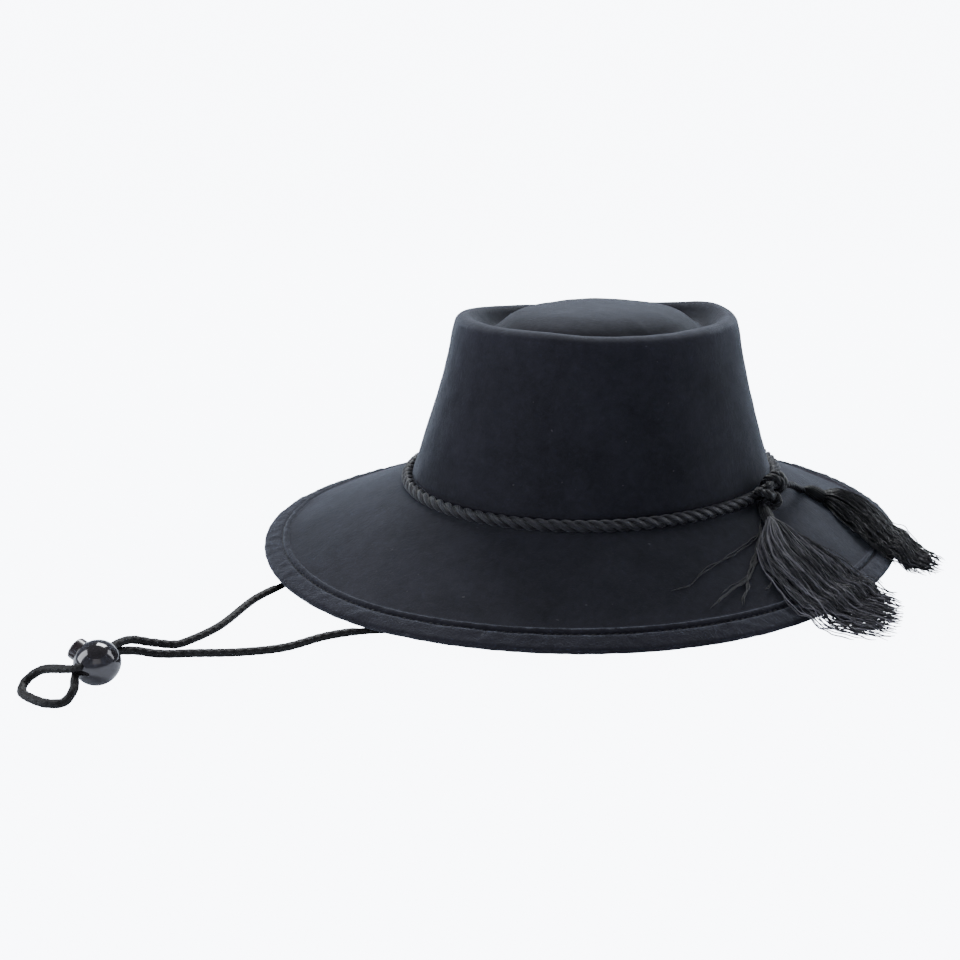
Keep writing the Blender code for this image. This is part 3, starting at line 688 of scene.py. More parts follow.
def felt_look(name, colours, seam):
    """Wool felt: matted short fibres, soft clouds of tone, lint, and on the crown painted shade in the
    hollow and painted light on the ring's edge.
    """
    graph = Graph(
        name, Roughness=0.96, Sheen_Weight=0.30, Sheen_Roughness=0.36,
        Sheen_Tint=(0.60, 0.67, 0.80), Specular_IOR_Level=0.20,
    )
    spot = graph.place()
    grain = graph.noise(spot, 1500.0, 4.0, 0.66)
    fibre = graph.noise(graph.place((1.0, 1.0, 0.32), (0.35, 0.2, 0.5)), 700.0, 3.0, 0.7, 1.4)
    cloud = graph.noise(spot, 38.0, 3.0, 0.55)
    tuft = graph.noise(spot, 210.0, 3.0, 0.6, 0.6)
    shade = cloud * 0.45 + tuft * 0.30 + grain * 0.35
    if not seam:
        # crown only: the tone is painted darker in the hollow behind the ring as shade, and lighter on the
        # ring's edge as light
        worn = graph.node("ShaderNodeAttribute", {"attribute_name": "worn"}, output="Fac")
        shade = shade + (worn - 0.5) * 0.34
    lint = graph.ramp(graph.noise(graph.place((1.0, 1.0, 1.0), (0.4, 0.9, 0.1)), 330.0, 1.0),
                      (0.775, 0.0), (0.80, 1.0))
    patch = graph.ramp(shade, (0.36, 0.0), (0.72, 1.0))
    tone = graph.blend(patch, colours["dark"], colours["light"])
    tone = graph.blend(lint * 0.35, tone, colours["lint"])
    height = grain * 0.55 + fibre * 0.55 + tuft * 0.8
    if seam:
        # the sewn fold is crumpled
        fold = graph.node("ShaderNodeAttribute", {"attribute_name": "hem"}, output="Fac")
        crease = graph.noise(spot, 330.0, 4.0, 0.62, 1.6)
        tone = graph.blend(fold * crease * 0.30, tone, colours["rubbed"])
        height = height + fold * crease * 2.2
    graph.colour(tone)
    graph.roughness(0.90 + grain * 0.10)
    return graph.bump(height, 0.00032, 0.85)


def yarn_look(name, colours, twist, plies, gloss, depth, vary=0.0):
    """Twisted thread: oblique plies round each strand, fine fibres, a dull shine."""
    graph = Graph(name, Roughness=gloss, Sheen_Weight=0.10, Sheen_Roughness=0.35,
                  Sheen_Tint=(0.72, 0.74, 0.80), Specular_IOR_Level=0.42)
    run, lap = graph.surface()
    phase = run * (2.0 * math.pi / twist) + lap * (2.0 * math.pi * plies)
    ply = phase.sine().size()
    fuzz = graph.noise(graph.place(), 2200.0, 3.0, 0.6)
    shade = graph.noise(graph.place(), 260.0, 2.0, 0.5)
    # strand holds each thread's own random tone; on the rope it is painted shade between the strands and
    # painted light on their outer sides
    own = graph.node("ShaderNodeAttribute", {"attribute_name": "strand"}, output="Fac")
    tone = (ply * 0.20 + shade * 0.16) * (1.0 - 0.6 * vary) + own * vary
    graph.colour(graph.blend(tone, colours["dark"], colours["light"]))
    graph.roughness(gloss - 0.10 + fuzz * 0.20)
    return graph.bump(ply + fuzz * 0.5, depth)


def braid_look(name, colours):
    """Braided cord: two sets of plies that cross, with a soft worn shine."""
    graph = Graph(name, Roughness=0.62, Sheen_Weight=0.08, Sheen_Roughness=0.35,
                  Sheen_Tint=(0.75, 0.72, 0.75), Specular_IOR_Level=0.3)
    run, lap = graph.surface()
    along_cord = run * (2.0 * math.pi / 0.0042)
    one = (along_cord + lap * (8.0 * math.pi)).sine()
    other = (along_cord - lap * (8.0 * math.pi)).sine()
    ply = one.largest(other)
    fuzz = graph.noise(graph.place(), 1900.0, 3.0, 0.6)
    shade = graph.noise(graph.place(), 120.0, 2.0, 0.5)
    graph.colour(graph.blend(ply * 0.3 + shade * 0.5, colours["dark"], colours["light"]))
    graph.roughness(0.52 + fuzz * 0.2)
    return graph.bump(ply * 0.5 + fuzz * 0.5, 0.00016)


def polished_look(name, colours, metallic, dull, coat):
    """Polished shell: dark, with faint scuffs and moulding waves under a clear coat."""
    graph = Graph(name, Metallic=metallic, Specular_IOR_Level=0.6, Coat_Weight=coat,
                  Coat_Roughness=0.5 * dull)
    spot = graph.place()
    wave = graph.noise(spot, 260.0, 2.0, 0.5)
    scuff = graph.ramp(graph.noise(graph.place((1.0, 0.12, 1.0), (0.3, 0.5, 0.2)), 2400.0, 2.0),
                       (0.60, 0.0), (0.78, 1.0))
    graph.colour(graph.blend(wave, colours["dark"], colours["light"]))
    graph.roughness(dull + scuff * 0.22 + wave * 0.06)
    return graph.bump(wave, 0.00006, 0.6)


def ground_look(name, tone, glow):
    """Pale seamless paper; it looks bright to the eye but throws little light back."""
    graph = Graph(name, Roughness=0.95, Specular_IOR_Level=0.1)
    fleck = graph.noise(graph.place(), 4.0, 2.0, 0.5)
    paper = graph.blend(fleck * 0.05, tone, (0.97, 0.97, 0.97))
    graph.colour(paper)
    shine = graph.node("ShaderNodeEmission", {}, {"Strength": glow})
    graph.feed(shine.socket.node.inputs["Color"], paper)
    seen = graph.node("ShaderNodeLightPath", output="Is Camera Ray")
    both = graph.node(
        "ShaderNodeMixShader", {},
        {0: seen * 0.80, 1: Value(graph, graph.shader.outputs[0]), 2: shine},
    )
    finish = graph.tree.nodes["Material Output"]
    graph.tree.links.new(both.socket, finish.inputs["Surface"])
    return graph.material


def shades(dark, lift):
    """A dark tone and lighter ones made from it, as plain colours."""
    dark = tuple(dark)[:3]
    return {
        "dark": dark,
        "light": tuple(min(c * lift, 1.0) for c in dark),
        "rubbed": tuple(min(c * lift * 1.6 + 0.002, 1.0) for c in dark),
        "lint": tuple(min(c * 3.0 + 0.05, 1.0) for c in dark),
    }


# Settings that a user changes

class HatSizes(bpy.types.PropertyGroup):
    """Sizes of the hat's loose and drawn detail."""

    cord_diameter: FloatProperty(
        name="Cord diameter", description="Thickness of the chin cord",
        default=2.0 * CORD_RADIUS, unit="LENGTH", precision=4,
    )
    strand_radius: FloatProperty(
        name="Strand radius", description="Half thickness of one of the rope's strands",
        default=0.00144, unit="LENGTH", precision=5,
    )
    thread_radius: FloatProperty(
        name="Thread radius", description="Half thickness of a tassel's thread",
        default=0.00027, unit="LENGTH", precision=5,
    )
    near_threads: IntProperty(
        name="Near threads", description="Threads in the near tassel", default=330, min=20,
    )
    far_threads: IntProperty(
        name="Far threads", description="Threads in the far tassel", default=330, min=20,
    )
    stitch_length: FloatProperty(
        name="Stitch length", description="Length of a stitch of the hem",
        default=0.0032, unit="LENGTH", precision=4,
    )


class HatColours(bpy.types.PropertyGroup):
    """Base colours of the hat's finishes."""

    felt: FloatVectorProperty(
        name="Felt", description="Darkest tone of the felt", subtype="COLOR", size=3,
        default=(0.0078, 0.0074, 0.0102), min=0.0, max=1.0,
    )
    rope: FloatVectorProperty(
        name="Rope", description="Darkest tone of rope and knot", subtype="COLOR", size=3,
        default=(0.0030, 0.0029, 0.0034), min=0.0, max=1.0,
    )
    thread: FloatVectorProperty(
        name="Tassel thread", description="Darkest tone of the tassels", subtype="COLOR", size=3,
        default=(0.0032, 0.0030, 0.0036), min=0.0, max=1.0,
    )
    cord: FloatVectorProperty(
        name="Chin cord", description="Darkest tone of the chin cord", subtype="COLOR", size=3,
        default=(0.0036, 0.0030, 0.0031), min=0.0, max=1.0,
    )
    shell: FloatVectorProperty(
        name="Toggle shell", description="Tone of the polished ball", subtype="COLOR", size=3,
        default=(0.034, 0.030, 0.033), min=0.0, max=1.0,
    )
    button: FloatVectorProperty(
        name="Toggle button", description="Tone of the plunger", subtype="COLOR", size=3,
        default=(0.020, 0.013, 0.015), min=0.0, max=1.0,
    )
    paper: FloatVectorProperty(
        name="Paper", description="Tone of the ground", subtype="COLOR", size=3,
        default=(0.84, 0.88, 0.96), min=0.0, max=1.0,
    )


# Pieces

def toggle_frame():
    """The toggle's axes: X across the strands, Y along the hole, Z out of the button."""
    heading = math.radians(HOLE_HEADING)
    tilt = math.radians(BUTTON_TILT)
    hole = Vector((math.cos(heading), math.sin(heading), 0.0))
    side = Vector((math.sin(heading), -math.cos(heading), 0.0))
    button = side * math.cos(tilt) + Vector((0.0, 0.0, math.sin(tilt)))
    axes = Matrix((hole.cross(button), hole, button)).transposed().to_4x4()
    axes.translation = Vector((*TOGGLE_PLACE, BALL_RADIUS + FLOOR_GAP)) + Vector(HAT)
    return axes


def cord_rise():
    """Height of the strands over the hole's middle."""
    return 0.5 * HOLE_HEIGHT - CORD_RADIUS - 2.0 * GAP


def cord_path(count):
    """The chin cord's middle line, from ear to ear through the toggle."""
    axes = toggle_frame()
    apart = CORD_RADIUS + 0.5 * GAP
    mouth = BALL_RADIUS * 1.06
    rise = cord_rise()

    def strand(side, shares):
        return [tuple(axes @ Vector((side * apart, mouth * s, rise))) for s in shares]

    def route(table):
        return [tuple(np.array(spot) / 1000.0 + HAT) for spot in table]

    def ear(side):
        rows = profile_at(math.radians(90.0 * side))
        wall = rows[len(DOME_ROWS) + len(CREST_ROWS) + len(SHOULDER_ROWS) + len(WALL_ROWS) - 2]
        inside = abs(wall[1]) - FELT * 1.06 - CORD_RADIUS * 0.45 - GAP
        start = np.array([0.0, side * inside, wall[2]]) + HAT - (0.0, 0.0, SETTLE)
        return [tuple(start), tuple(start - (0.0, side * 2.0 * CORD_RADIUS, 0.0))]

    points = ear(-1) + route(NEAR_ROUTE) + strand(1.0, (-1.0, -0.35, 0.35, 1.0))
    points += route(LOOP_ROUTE) + strand(-1.0, (1.0, 0.35, -0.35, -1.0))
    points += route(FAR_ROUTE) + ear(1)[::-1]
    path = spline(points, count, crowding=0.004)
    path[:, 2] = np.maximum(path[:, 2], CORD_RADIUS + FLOOR_GAP)
    return path


def make_cord(sizes, colours):
    """Round braided cord: radius grows and shrinks a little where the plies cross.

    It is fuller where it lies free than under the brim and in the toggle, which squeeze it.
    """
    path = cord_path(1500)
    flat = path - HAT
    free = smooth(1.015, 1.07, brim_share(flat[:, 0], flat[:, 1])[1])
    from_ball = np.linalg.norm(path - np.array(toggle_frame().translation), axis=1)
    free = free * smooth(0.95 * BALL_RADIUS, 1.7 * BALL_RADIUS, from_ball)
    full = (SQUEEZED + (FULL - SQUEEZED) * free) * sizes.cord_diameter
    path[:, 2] = np.maximum(path[:, 2], full + FLOOR_GAP)
    run = np.concatenate([[0.0], np.cumsum(np.linalg.norm(np.diff(path, axis=0), axis=1))])
    lap = np.linspace(0.0, 2.0 * math.pi, 14, endpoint=False)
    wave = 2.0 * math.pi * run[:, None] / 0.0042
    relief = np.maximum(np.sin(wave + 4 * lap), np.sin(wave - 4 * lap))
    radius = full[:, None] * (0.955 + 0.045 * relief)
    look = braid_look("cord_braid_fine", shades(colours.cord, 3.4))
    cord = tube_piece("chin_cord_braid", path, radius, 14, look)
    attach(cord, "hat")
    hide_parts("chin_cord")
    return cord, path, float(run[-1])


def revolved(profile, sides):
    """Points and quads of a profile (radius, height) turned round Z, and its caps."""
    lap = np.linspace(0.0, 2.0 * math.pi, sides, endpoint=False)
    r, z = np.array(profile).T
    x = r[:, None] * np.cos(lap)
    y = r[:, None] * np.sin(lap)
    verts = np.stack([x, y, np.broadcast_to(z[:, None], x.shape)], -1)
    quads, _, _ = lattice(len(profile), sides)
    last = (len(profile) - 1) * sides
    return verts, quads, [np.arange(sides)[::-1], np.arange(last, last + sides)]


def bar(width, height, middle, corner):
    """A long bar along Y of rounded rectangular section, for cutting."""
    section = []
    for quarter, (x, z) in enumerate(((1, 1), (-1, 1), (-1, -1), (1, -1))):
        for turn in np.radians(90 * quarter + np.linspace(0, 90, 9)):
            section.append((
                x * (0.5 * width - corner) + corner * math.cos(turn),
                z * (0.5 * height - corner) + corner * math.sin(turn) + middle,
            ))
    section = np.array(section)
    count = len(section)
    ends = [
        np.stack([section[:, 0], np.full(count, y), section[:, 1]], -1)
        for y in (-2.0 * BALL_RADIUS, 2.0 * BALL_RADIUS)
    ]
    quads, _, _ = lattice(2, count)
    caps = [np.arange(count)[::-1], np.arange(count, 2 * count)]
    return np.array(ends), quads, caps


def carved(name, base, cutters, voxel, look, axes):
    """base with the cutters taken out, remeshed so that every edge is softly rounded."""
    piece = mesh_piece(name, base[0], base[1], None, base[2])
    helpers = []
    for number, cutter in enumerate(cutters):
        helper = mesh_piece(f"{name}_cut_{number}", cutter[0], cutter[1], None, cutter[2])
        helpers.append(helper)
        hole = piece.modifiers.new(helper.name, "BOOLEAN")
        hole.operation = "DIFFERENCE"
        hole.object = helper
    melt = piece.modifiers.new("voxels", "REMESH")
    melt.mode = "VOXEL"
    melt.voxel_size = voxel
    soft = piece.modifiers.new("soft", "SMOOTH")
    soft.factor = 0.5
    soft.iterations = 5
    bpy.context.view_layer.update()
    mesh = bpy.data.meshes.new_from_object(
        piece.evaluated_get(bpy.context.evaluated_depsgraph_get())
    )
    piece.modifiers.clear()
    piece.data = mesh
    mesh.transform(axes)
    mesh.shade_smooth()
    mesh.materials.clear()
    mesh.materials.append(look)
    for helper in helpers:
        bpy.data.objects.remove(helper)
    return piece


def make_toggle(colours):
    """The ball with its cross hole and bore, and the button that slides in it."""
    axes = toggle_frame()
    turns = np.radians(np.linspace(-89, 89, 61))
    ball = revolved([(BALL_RADIUS * math.cos(t), BALL_RADIUS * math.sin(t)) for t in turns], 120)
    grip = cord_rise() - CORD_RADIUS - GAP
    foot = grip - BUTTON_FOOT
    bore = BUTTON_RADIUS + BUTTON_PLAY
    floor = foot - BUTTON_TRAVEL - GAP
    well = revolved([(bore, floor), (bore, 2 * BALL_RADIUS)], 96)
    shell = polished_look("toggle_shell_polished", shades(colours.shell, 1.5), 0.55, 0.09, 0.6)
    made_ball = carved(
        "toggle_ball", ball, [well, bar(HOLE_WIDTH, HOLE_HEIGHT, 0.0, HOLE_CORNER)],
        0.00022, shell, axes,
    )
    tip = math.sqrt(BALL_RADIUS ** 2 - BUTTON_RADIUS ** 2) + BUTTON_STAND
    rim = [(BUTTON_RADIUS, foot), (BUTTON_RADIUS, tip - BUTTON_EDGE)]
    for turn in np.radians(np.linspace(15, 90, 6)):
        rim.append((
            BUTTON_RADIUS - BUTTON_EDGE * (1.0 - math.cos(turn)),
            tip - BUTTON_EDGE * (1.0 - math.sin(turn)),
        ))
    rim += [(BUTTON_RADIUS * 0.45, tip), (BUTTON_RADIUS * 0.05, tip)]
    slot = HOLE_HEIGHT - 2.0 * GAP
    plunger = polished_look("toggle_button_polished", shades(colours.button, 1.6), 0.1, 0.24, 0.3)
    made_button = carved(
        "toggle_button", revolved(rim, 96),
        [bar(4.0 * (CORD_RADIUS + GAP), slot, grip + 0.5 * slot, SLOT_CORNER)],
        0.00018, plunger, axes,
    )
    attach(made_ball, "hat")
    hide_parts("stopper_ball")
    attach(made_button, "button")
    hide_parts("stopper_button")
    return made_ball, made_button


# Painted shade and light on the crown's felt: number of the row, and tone from 0, painted shade in the
# hollow, to 1, painted light on the ring's edge, with 0.5 plain
CROWN_SHADE_AND_LIGHT = ((4, 0.50), (6, 0.05), (7, 0.10), (9, 0.55), (12, 1.00), (13, 0.95), (15, 0.50))


def make_crown(colours):
    """Crown: rows down the part's own profile, smoothed, with soft unevenness."""
    angle = np.linspace(0.0, 2.0 * math.pi, 420, endpoint=False)
    rows = crown_rows(angle)
    steps = [5] * len(DOME_ROWS) + [5] * len(CREST_ROWS) + [5] * len(SHOULDER_ROWS)
    steps += [10, 10, 10, 8, 6, 5]
    tip = np.broadcast_to([0.0, 0.0, CROWN_HEIGHT + DOME_RISE], rows[0].shape)
    rows = [tip + (rows[0] - tip) * 0.04] + rows
    fine = refined(rows, steps)
    normal = surface_normals(fine)
    uneven = ripple(fine, 0.045, 3) * 0.00035 + ripple(fine, 0.012, 4) * 0.00010
    upper = fine + normal * uneven[..., None]
    lower = (fine - normal * FELT)[::-2]
    verts = place(np.concatenate([upper, lower]))
    quads, _, _ = lattice(len(verts), len(angle))
    last = (len(verts) - 1) * len(angle)
    ring = np.arange(len(angle))
    look = felt_look("crown_felt_wool", shades(colours.felt, 2.6), False)
    # painted shade in the hollow and painted light on the ring's edge, row by row; the underside stays plain
    number = np.interp(np.arange(len(fine)), np.cumsum([0] + steps), np.arange(len(rows)))
    worn = np.concatenate([np.interp(number, *np.transpose(CROWN_SHADE_AND_LIGHT)), np.full(len(lower), 0.5)])
    crown = mesh_piece(
        "crown_felt", verts, quads, look, [ring[::-1], ring + last],
        values={"worn": np.repeat(worn, len(angle))},
    )
    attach(crown, "hat")
    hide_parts("felt_crown")
    return crown


# Hem: distance in from the edge in millimetres, height over the brim as share of the fold
HEM_PROFILE = (
    (13.0, 0.00), (11.9, 0.08), (11.3, 0.34), (10.8, 0.66), (10.1, 0.84), (9.3, 0.84),
    (8.6, 0.62), (8.15, 0.28), (7.75, 0.18), (7.3, 0.38), (6.7, 0.76), (5.6, 0.94),
    (4.2, 1.00), (2.6, 1.02), (1.2, 1.00),
)
STITCH_INSET = 0.0078


def hem_height(inset):
    """Height of the folded edge over the plain brim at a distance in from the edge."""
    table = np.array(HEM_PROFILE)[::-1]
    return np.interp(inset * 1000.0, table[:, 0], table[:, 1]) * HEM_FOLD


def make_brim(colours):
    """Brim: from the crown's foot to the rolled edge, with the sewn fold on top."""
    angle = np.linspace(0.0, 2.0 * math.pi, 760, endpoint=False)
    span = brim_span(angle)
    wall = crown_rows(angle)[-1]
    rows = [wall] + [brim_point(angle, s) for s in (0.0, *BRIM_ROWS)]
    plain = refined(rows, [3] + [3, 4, 5, 5, 5, 5])
    insets = [inset / 1000.0 for inset, _ in HEM_PROFILE]
    fold = np.array([brim_point(angle, 1.0 - inset / span) for inset in insets])
    last = brim_point(angle, 1.0)[None]
    fine = np.concatenate([plain, fold, last])
    normal = surface_normals(fine)
    share = np.concatenate([np.zeros(len(plain)), [h for _, h in HEM_PROFILE], [1.0]])
    hem = np.concatenate([np.zeros(len(plain)), np.ones(len(HEM_PROFILE) + 1)])
    inset_m = np.concatenate([np.full(len(plain), 1.0), insets, [0.0]])
    ridge = smooth(0.0085, 0.0100, inset_m) * (1.0 - smooth(0.0105, 0.0114, inset_m))
    hem[len(plain):] = 0.45 + 0.55 * (1.0 - ridge[len(plain):])
    hem[len(plain)] = 0.0
    hem[len(plain) + 1] = 0.2
    crumple = ripple(fine, 0.0060, 11) * 0.00030 + ripple(fine, 0.016, 12) * 0.00025
    pucker = ripple(fine, 0.0045, 13) * 0.00022
    soft = ripple(fine, 0.05, 14) * 0.00030 + ripple(fine, 0.014, 15) * 0.00008
    flat = hem[:, None] * (1.0 - ridge[:, None])
    rise = HEM_FOLD * share[:, None] + soft * (1.0 - hem[:, None])
    rise = rise + crumple * flat * share[:, None] + pucker * ridge[:, None]
    upper = fine + normal * rise[..., None]
    out = fine[-1] - fine[-2]
    out /= np.linalg.norm(out, axis=-1, keepdims=True)
    half = 0.5 * (FELT + HEM_FOLD)
    middle = fine[-1] + normal[-1] * (HEM_FOLD - half)
    turns = np.radians(np.linspace(82, -88, 12))
    edge = [middle + half * (math.cos(t) * out + math.sin(t) * normal[-1]) for t in turns]
    edge = np.array(edge)
    wobble = ripple(edge, 0.007, 16) * 0.00022
    radial = edge - middle
    radial /= np.linalg.norm(radial, axis=-1, keepdims=True)
    fade = np.linspace(1.0, 0.2, len(edge))[:, None]
    edge = edge + radial * (wobble * fade)[..., None]
    under = (plain - normal[:len(plain)] * FELT)[::-1]
    verts = place(np.concatenate([upper[:-1], edge, under]))
    verts[..., 2] = np.maximum(verts[..., 2], 0.00002)
    quads, _, _ = lattice(len(verts), len(angle), wrap_rows=True)
    marks = np.concatenate([hem[:-1], np.full(len(edge), 1.0), np.zeros(len(under))])
    marks[len(upper) - 1 + len(edge):len(upper) + len(edge)] = 0.6
    look = felt_look("brim_felt_wool", shades(colours.felt, 2.6), True)
    brim = mesh_piece(
        "brim_felt", verts, quads, look,
        values={"hem": np.repeat(marks, len(angle))},
    )
    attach(brim, "hat")
    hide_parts("felt_brim")
    return brim


def make_stitches(sizes, colours):
    """Stitches in the hem's groove: short threads that dip into the felt at both ends."""
    dense = np.linspace(0.0, 2.0 * math.pi, 4000)
    line = brim_point(dense, 1.0 - STITCH_INSET / brim_span(dense))
    run = np.concatenate([[0.0], np.cumsum(np.linalg.norm(np.diff(line, axis=0), axis=1))])
    count = int(run[-1] / sizes.stitch_length)
    starts = np.interp(np.arange(count) * run[-1] / count, run, dense)
    ahead = 0.92 * sizes.stitch_length / (run[-1] / (2.0 * math.pi))
    steps = np.linspace(0.0, 1.0, 7)
    angle = starts[:, None] + ahead * steps
    chance = np.random.default_rng(5)
    lean = chance.uniform(0.00025, 0.00060, (count, 1)) * (steps - 0.5)
    spot = brim_point(angle, 1.0 - (STITCH_INSET + lean) / brim_span(angle))
    rise = hem_height(STITCH_INSET) + 0.00030 * np.sin(math.pi * steps) - 0.00018
    spot[..., 2] += rise + chance.uniform(-0.00005, 0.00005, (count, 1))
    radii = np.broadcast_to(0.00028 * (0.55 + 0.45 * np.sin(math.pi * steps)), angle.shape)
    look = yarn_look("hem_thread", shades(colours.thread, 3.0), 0.0011, 2.0, 0.55, 0.00008)
    piece = many_tubes("hem_stitches", place(spot), radii, 6, look)
    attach(piece, "hat")
    return piece


def rope_line(points_per_turn=420):
    """The rope's middle line round the crown, open where the knot sits."""
    start = KNOT_ANGLE + KNOT_HALF
    turns = np.radians(np.linspace(start, start + 360.0 - 2.0 * KNOT_HALF, points_per_turn))
    line = np.array([seat(angle, ROPE_RADIUS) for angle in turns])
    inward = line * (-1.0, -1.0, 0.0) / np.linalg.norm(line[:, :2], axis=1)[:, None]
    return line + (inward * 0.9 - (0.0, 0.0, 1.0)) * ROPE_SINK


def laid_strands(path, radius, offset, pitch, count, side_up=None, taper=None, plies=9):
    """Paths and radii of strands laid round a path: offset * (cos, sin) of the twist."""
    side, up = carried_frame(path) if side_up is None else side_up
    run = np.concatenate([[0.0], np.cumsum(np.linalg.norm(np.diff(path, axis=0), axis=1))])
    lines = []
    for strand in range(count):
        twist = 2.0 * math.pi * (-run / pitch + strand / count)
        reach = offset if taper is None else offset * taper[:, None]
        lines.append(path + reach * (np.cos(twist)[:, None] * side + np.sin(twist)[:, None] * up))
    size = np.full(len(path), radius) if taper is None else radius * taper
    return np.array(lines), np.broadcast_to(size, (count, len(path)))


def make_rope(sizes, colours):
    """Three-strand rope round the crown's foot."""
    coarse = rope_line()
    path = spline(coarse[::3], 1050)
    strand = sizes.strand_radius
    lines, radii = laid_strands(path, strand, ROPE_RADIUS - strand, ROPE_PITCH, 3)
    # the rope's tone by how far out: painted shade in the gaps between strands, painted light on their outer
    # sides
    look = yarn_look(
        "band_rope_yarn", shades(colours.rope, 11.0), 0.0036, 5.0, 0.36, 0.00040, 0.75,
    )
    rope = many_tubes("band_rope", place(lines), radii, 14, look, axis=place(path))
    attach(rope, "hat")
    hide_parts("crown_rope")
    return rope


def tassel_start(tassel):
    """Where a tassel's head begins on the brim and which way it looks."""
    angle = np.array([math.radians(tassel["angle"])])
    spot = brim_point(angle, tassel["start"] / brim_span(angle))[0]
    heading = math.radians(tassel["headings"][0])
    spot[2] = float(lie_on_brim(spot[0], spot[1])) + 0.33 * TASSEL_HEAD
    return spot, np.array([math.cos(heading), math.sin(heading), 0.0])


def make_knot(colours):
    """The knot: rope under a three-lobed knot and two turns, with two tails.

    The tied part follows (sin t + 2 sin 2t, cos t - 2 cos 2t, -sin 3t).
    """
    line = rope_line(120)
    centre = seat(math.radians(KNOT_ANGLE), WRAP_RADIUS + ROPE_RADIUS)
    first, last = line[-1], line[0]
    across = last - first
    across /= np.linalg.norm(across)
    up = np.array([0.0, 0.0, 1.0])
    out = np.cross(across, up)
    out -= out[2] * up
    out /= np.linalg.norm(out)
    if out @ centre < 0.0:
        out = -out
    lean = 0.80 * out + 0.60 * up
    tall = np.cross(lean, across)
    lines = []
    radii = []
    lead = along(line)
    core = spline([
        first - lead[-1] * 0.004, first + lead[-1] * 0.0015, centre - across * 0.0035,
        centre + across * 0.0035, last - lead[0] * 0.0015, last + lead[0] * 0.004,
    ], 90)
    strands, size = laid_strands(core, 0.00152, 0.00146, ROPE_PITCH, 3)
    lines += list(strands)
    radii += list(size)
    main = centre - across * 0.0080 + out * 0.0012 - up * 0.0030
    turn = np.linspace(0.0, 2.0 * math.pi, 181)
    knot = (
        (np.sin(turn) + 2.0 * np.sin(2.0 * turn))[:, None] * across * 0.00170
        + (np.cos(turn) - 2.0 * np.cos(2.0 * turn))[:, None] * tall * 0.00205
        - np.sin(3.0 * turn)[:, None] * lean * 0.0026
        + main
    )
    loops, size = laid_strands(knot, 0.00112, 0.00108, 0.0120, 3)
    lines += [spline(loop, 90) for loop in loops]
    radii += [np.full(90, size[0, 0])] * 3
    for middle, tilt in ((centre + across * 0.0004, 0.34), (centre + across * 0.0048, -0.25)):
        axis = across + tilt * tall
        axis /= np.linalg.norm(axis)
        one = np.cross(axis, lean)
        one /= np.linalg.norm(one)
        other = np.cross(axis, one)
        lap = np.linspace(0.0, 2.0 * math.pi, 121)[:, None]
        wrap = middle + 0.0042 * (np.cos(lap) * one + np.sin(lap) * other)
        loops, size = laid_strands(wrap, 0.00112, 0.00108, 0.0110, 3)
        lines += [spline(loop, 90) for loop in loops]
        radii += [np.full(90, size[0, 0])] * 3
    for tassel, source, sway in ((NEAR, main, -0.0006), (FAR, centre + lean * 0.0015, 0.0010)):
        spot, ahead = tassel_start(tassel)
        middle = 0.5 * (source + spot)
        middle[2] = max(float(lie_on_brim(middle[0], middle[1])) + 0.0030, middle[2] + sway)
        tail = spline([source, middle, spot - ahead * 0.002, spot + ahead * 0.0035], 90)
        strands, size = laid_strands(tail, 0.00100, 0.00096, 0.0100, 3)
        lines += list(strands)
        radii += list(size)
    look = yarn_look("knot_yarn", shades(colours.rope, 6.5), 0.0030, 5.0, 0.40, 0.00024)
    piece = many_tubes("knot_turns", place(np.array(lines)), np.array(radii), 12, look)
    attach(piece, "hat")
    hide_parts("rope_knot")
    return piece


def tassel_way(tassel, steps):
    """A tassel's middle line from above and its heading, at shares of its length."""
    dense = np.linspace(0.0, 1.3, 260)
    spot, _ = tassel_start(tassel)
    a, b = tassel["headings"]
    heading = np.radians(a + (b - a) * np.minimum(dense / tassel["bend"], 1.0))
    step = tassel["length"] * (dense[1] - dense[0])
    way_x = spot[0] + np.cumsum(np.cos(heading)) * step
    way_y = spot[1] + np.cumsum(np.sin(heading)) * step
    return tuple(np.interp(steps, dense, way) for way in (way_x, way_y, heading))


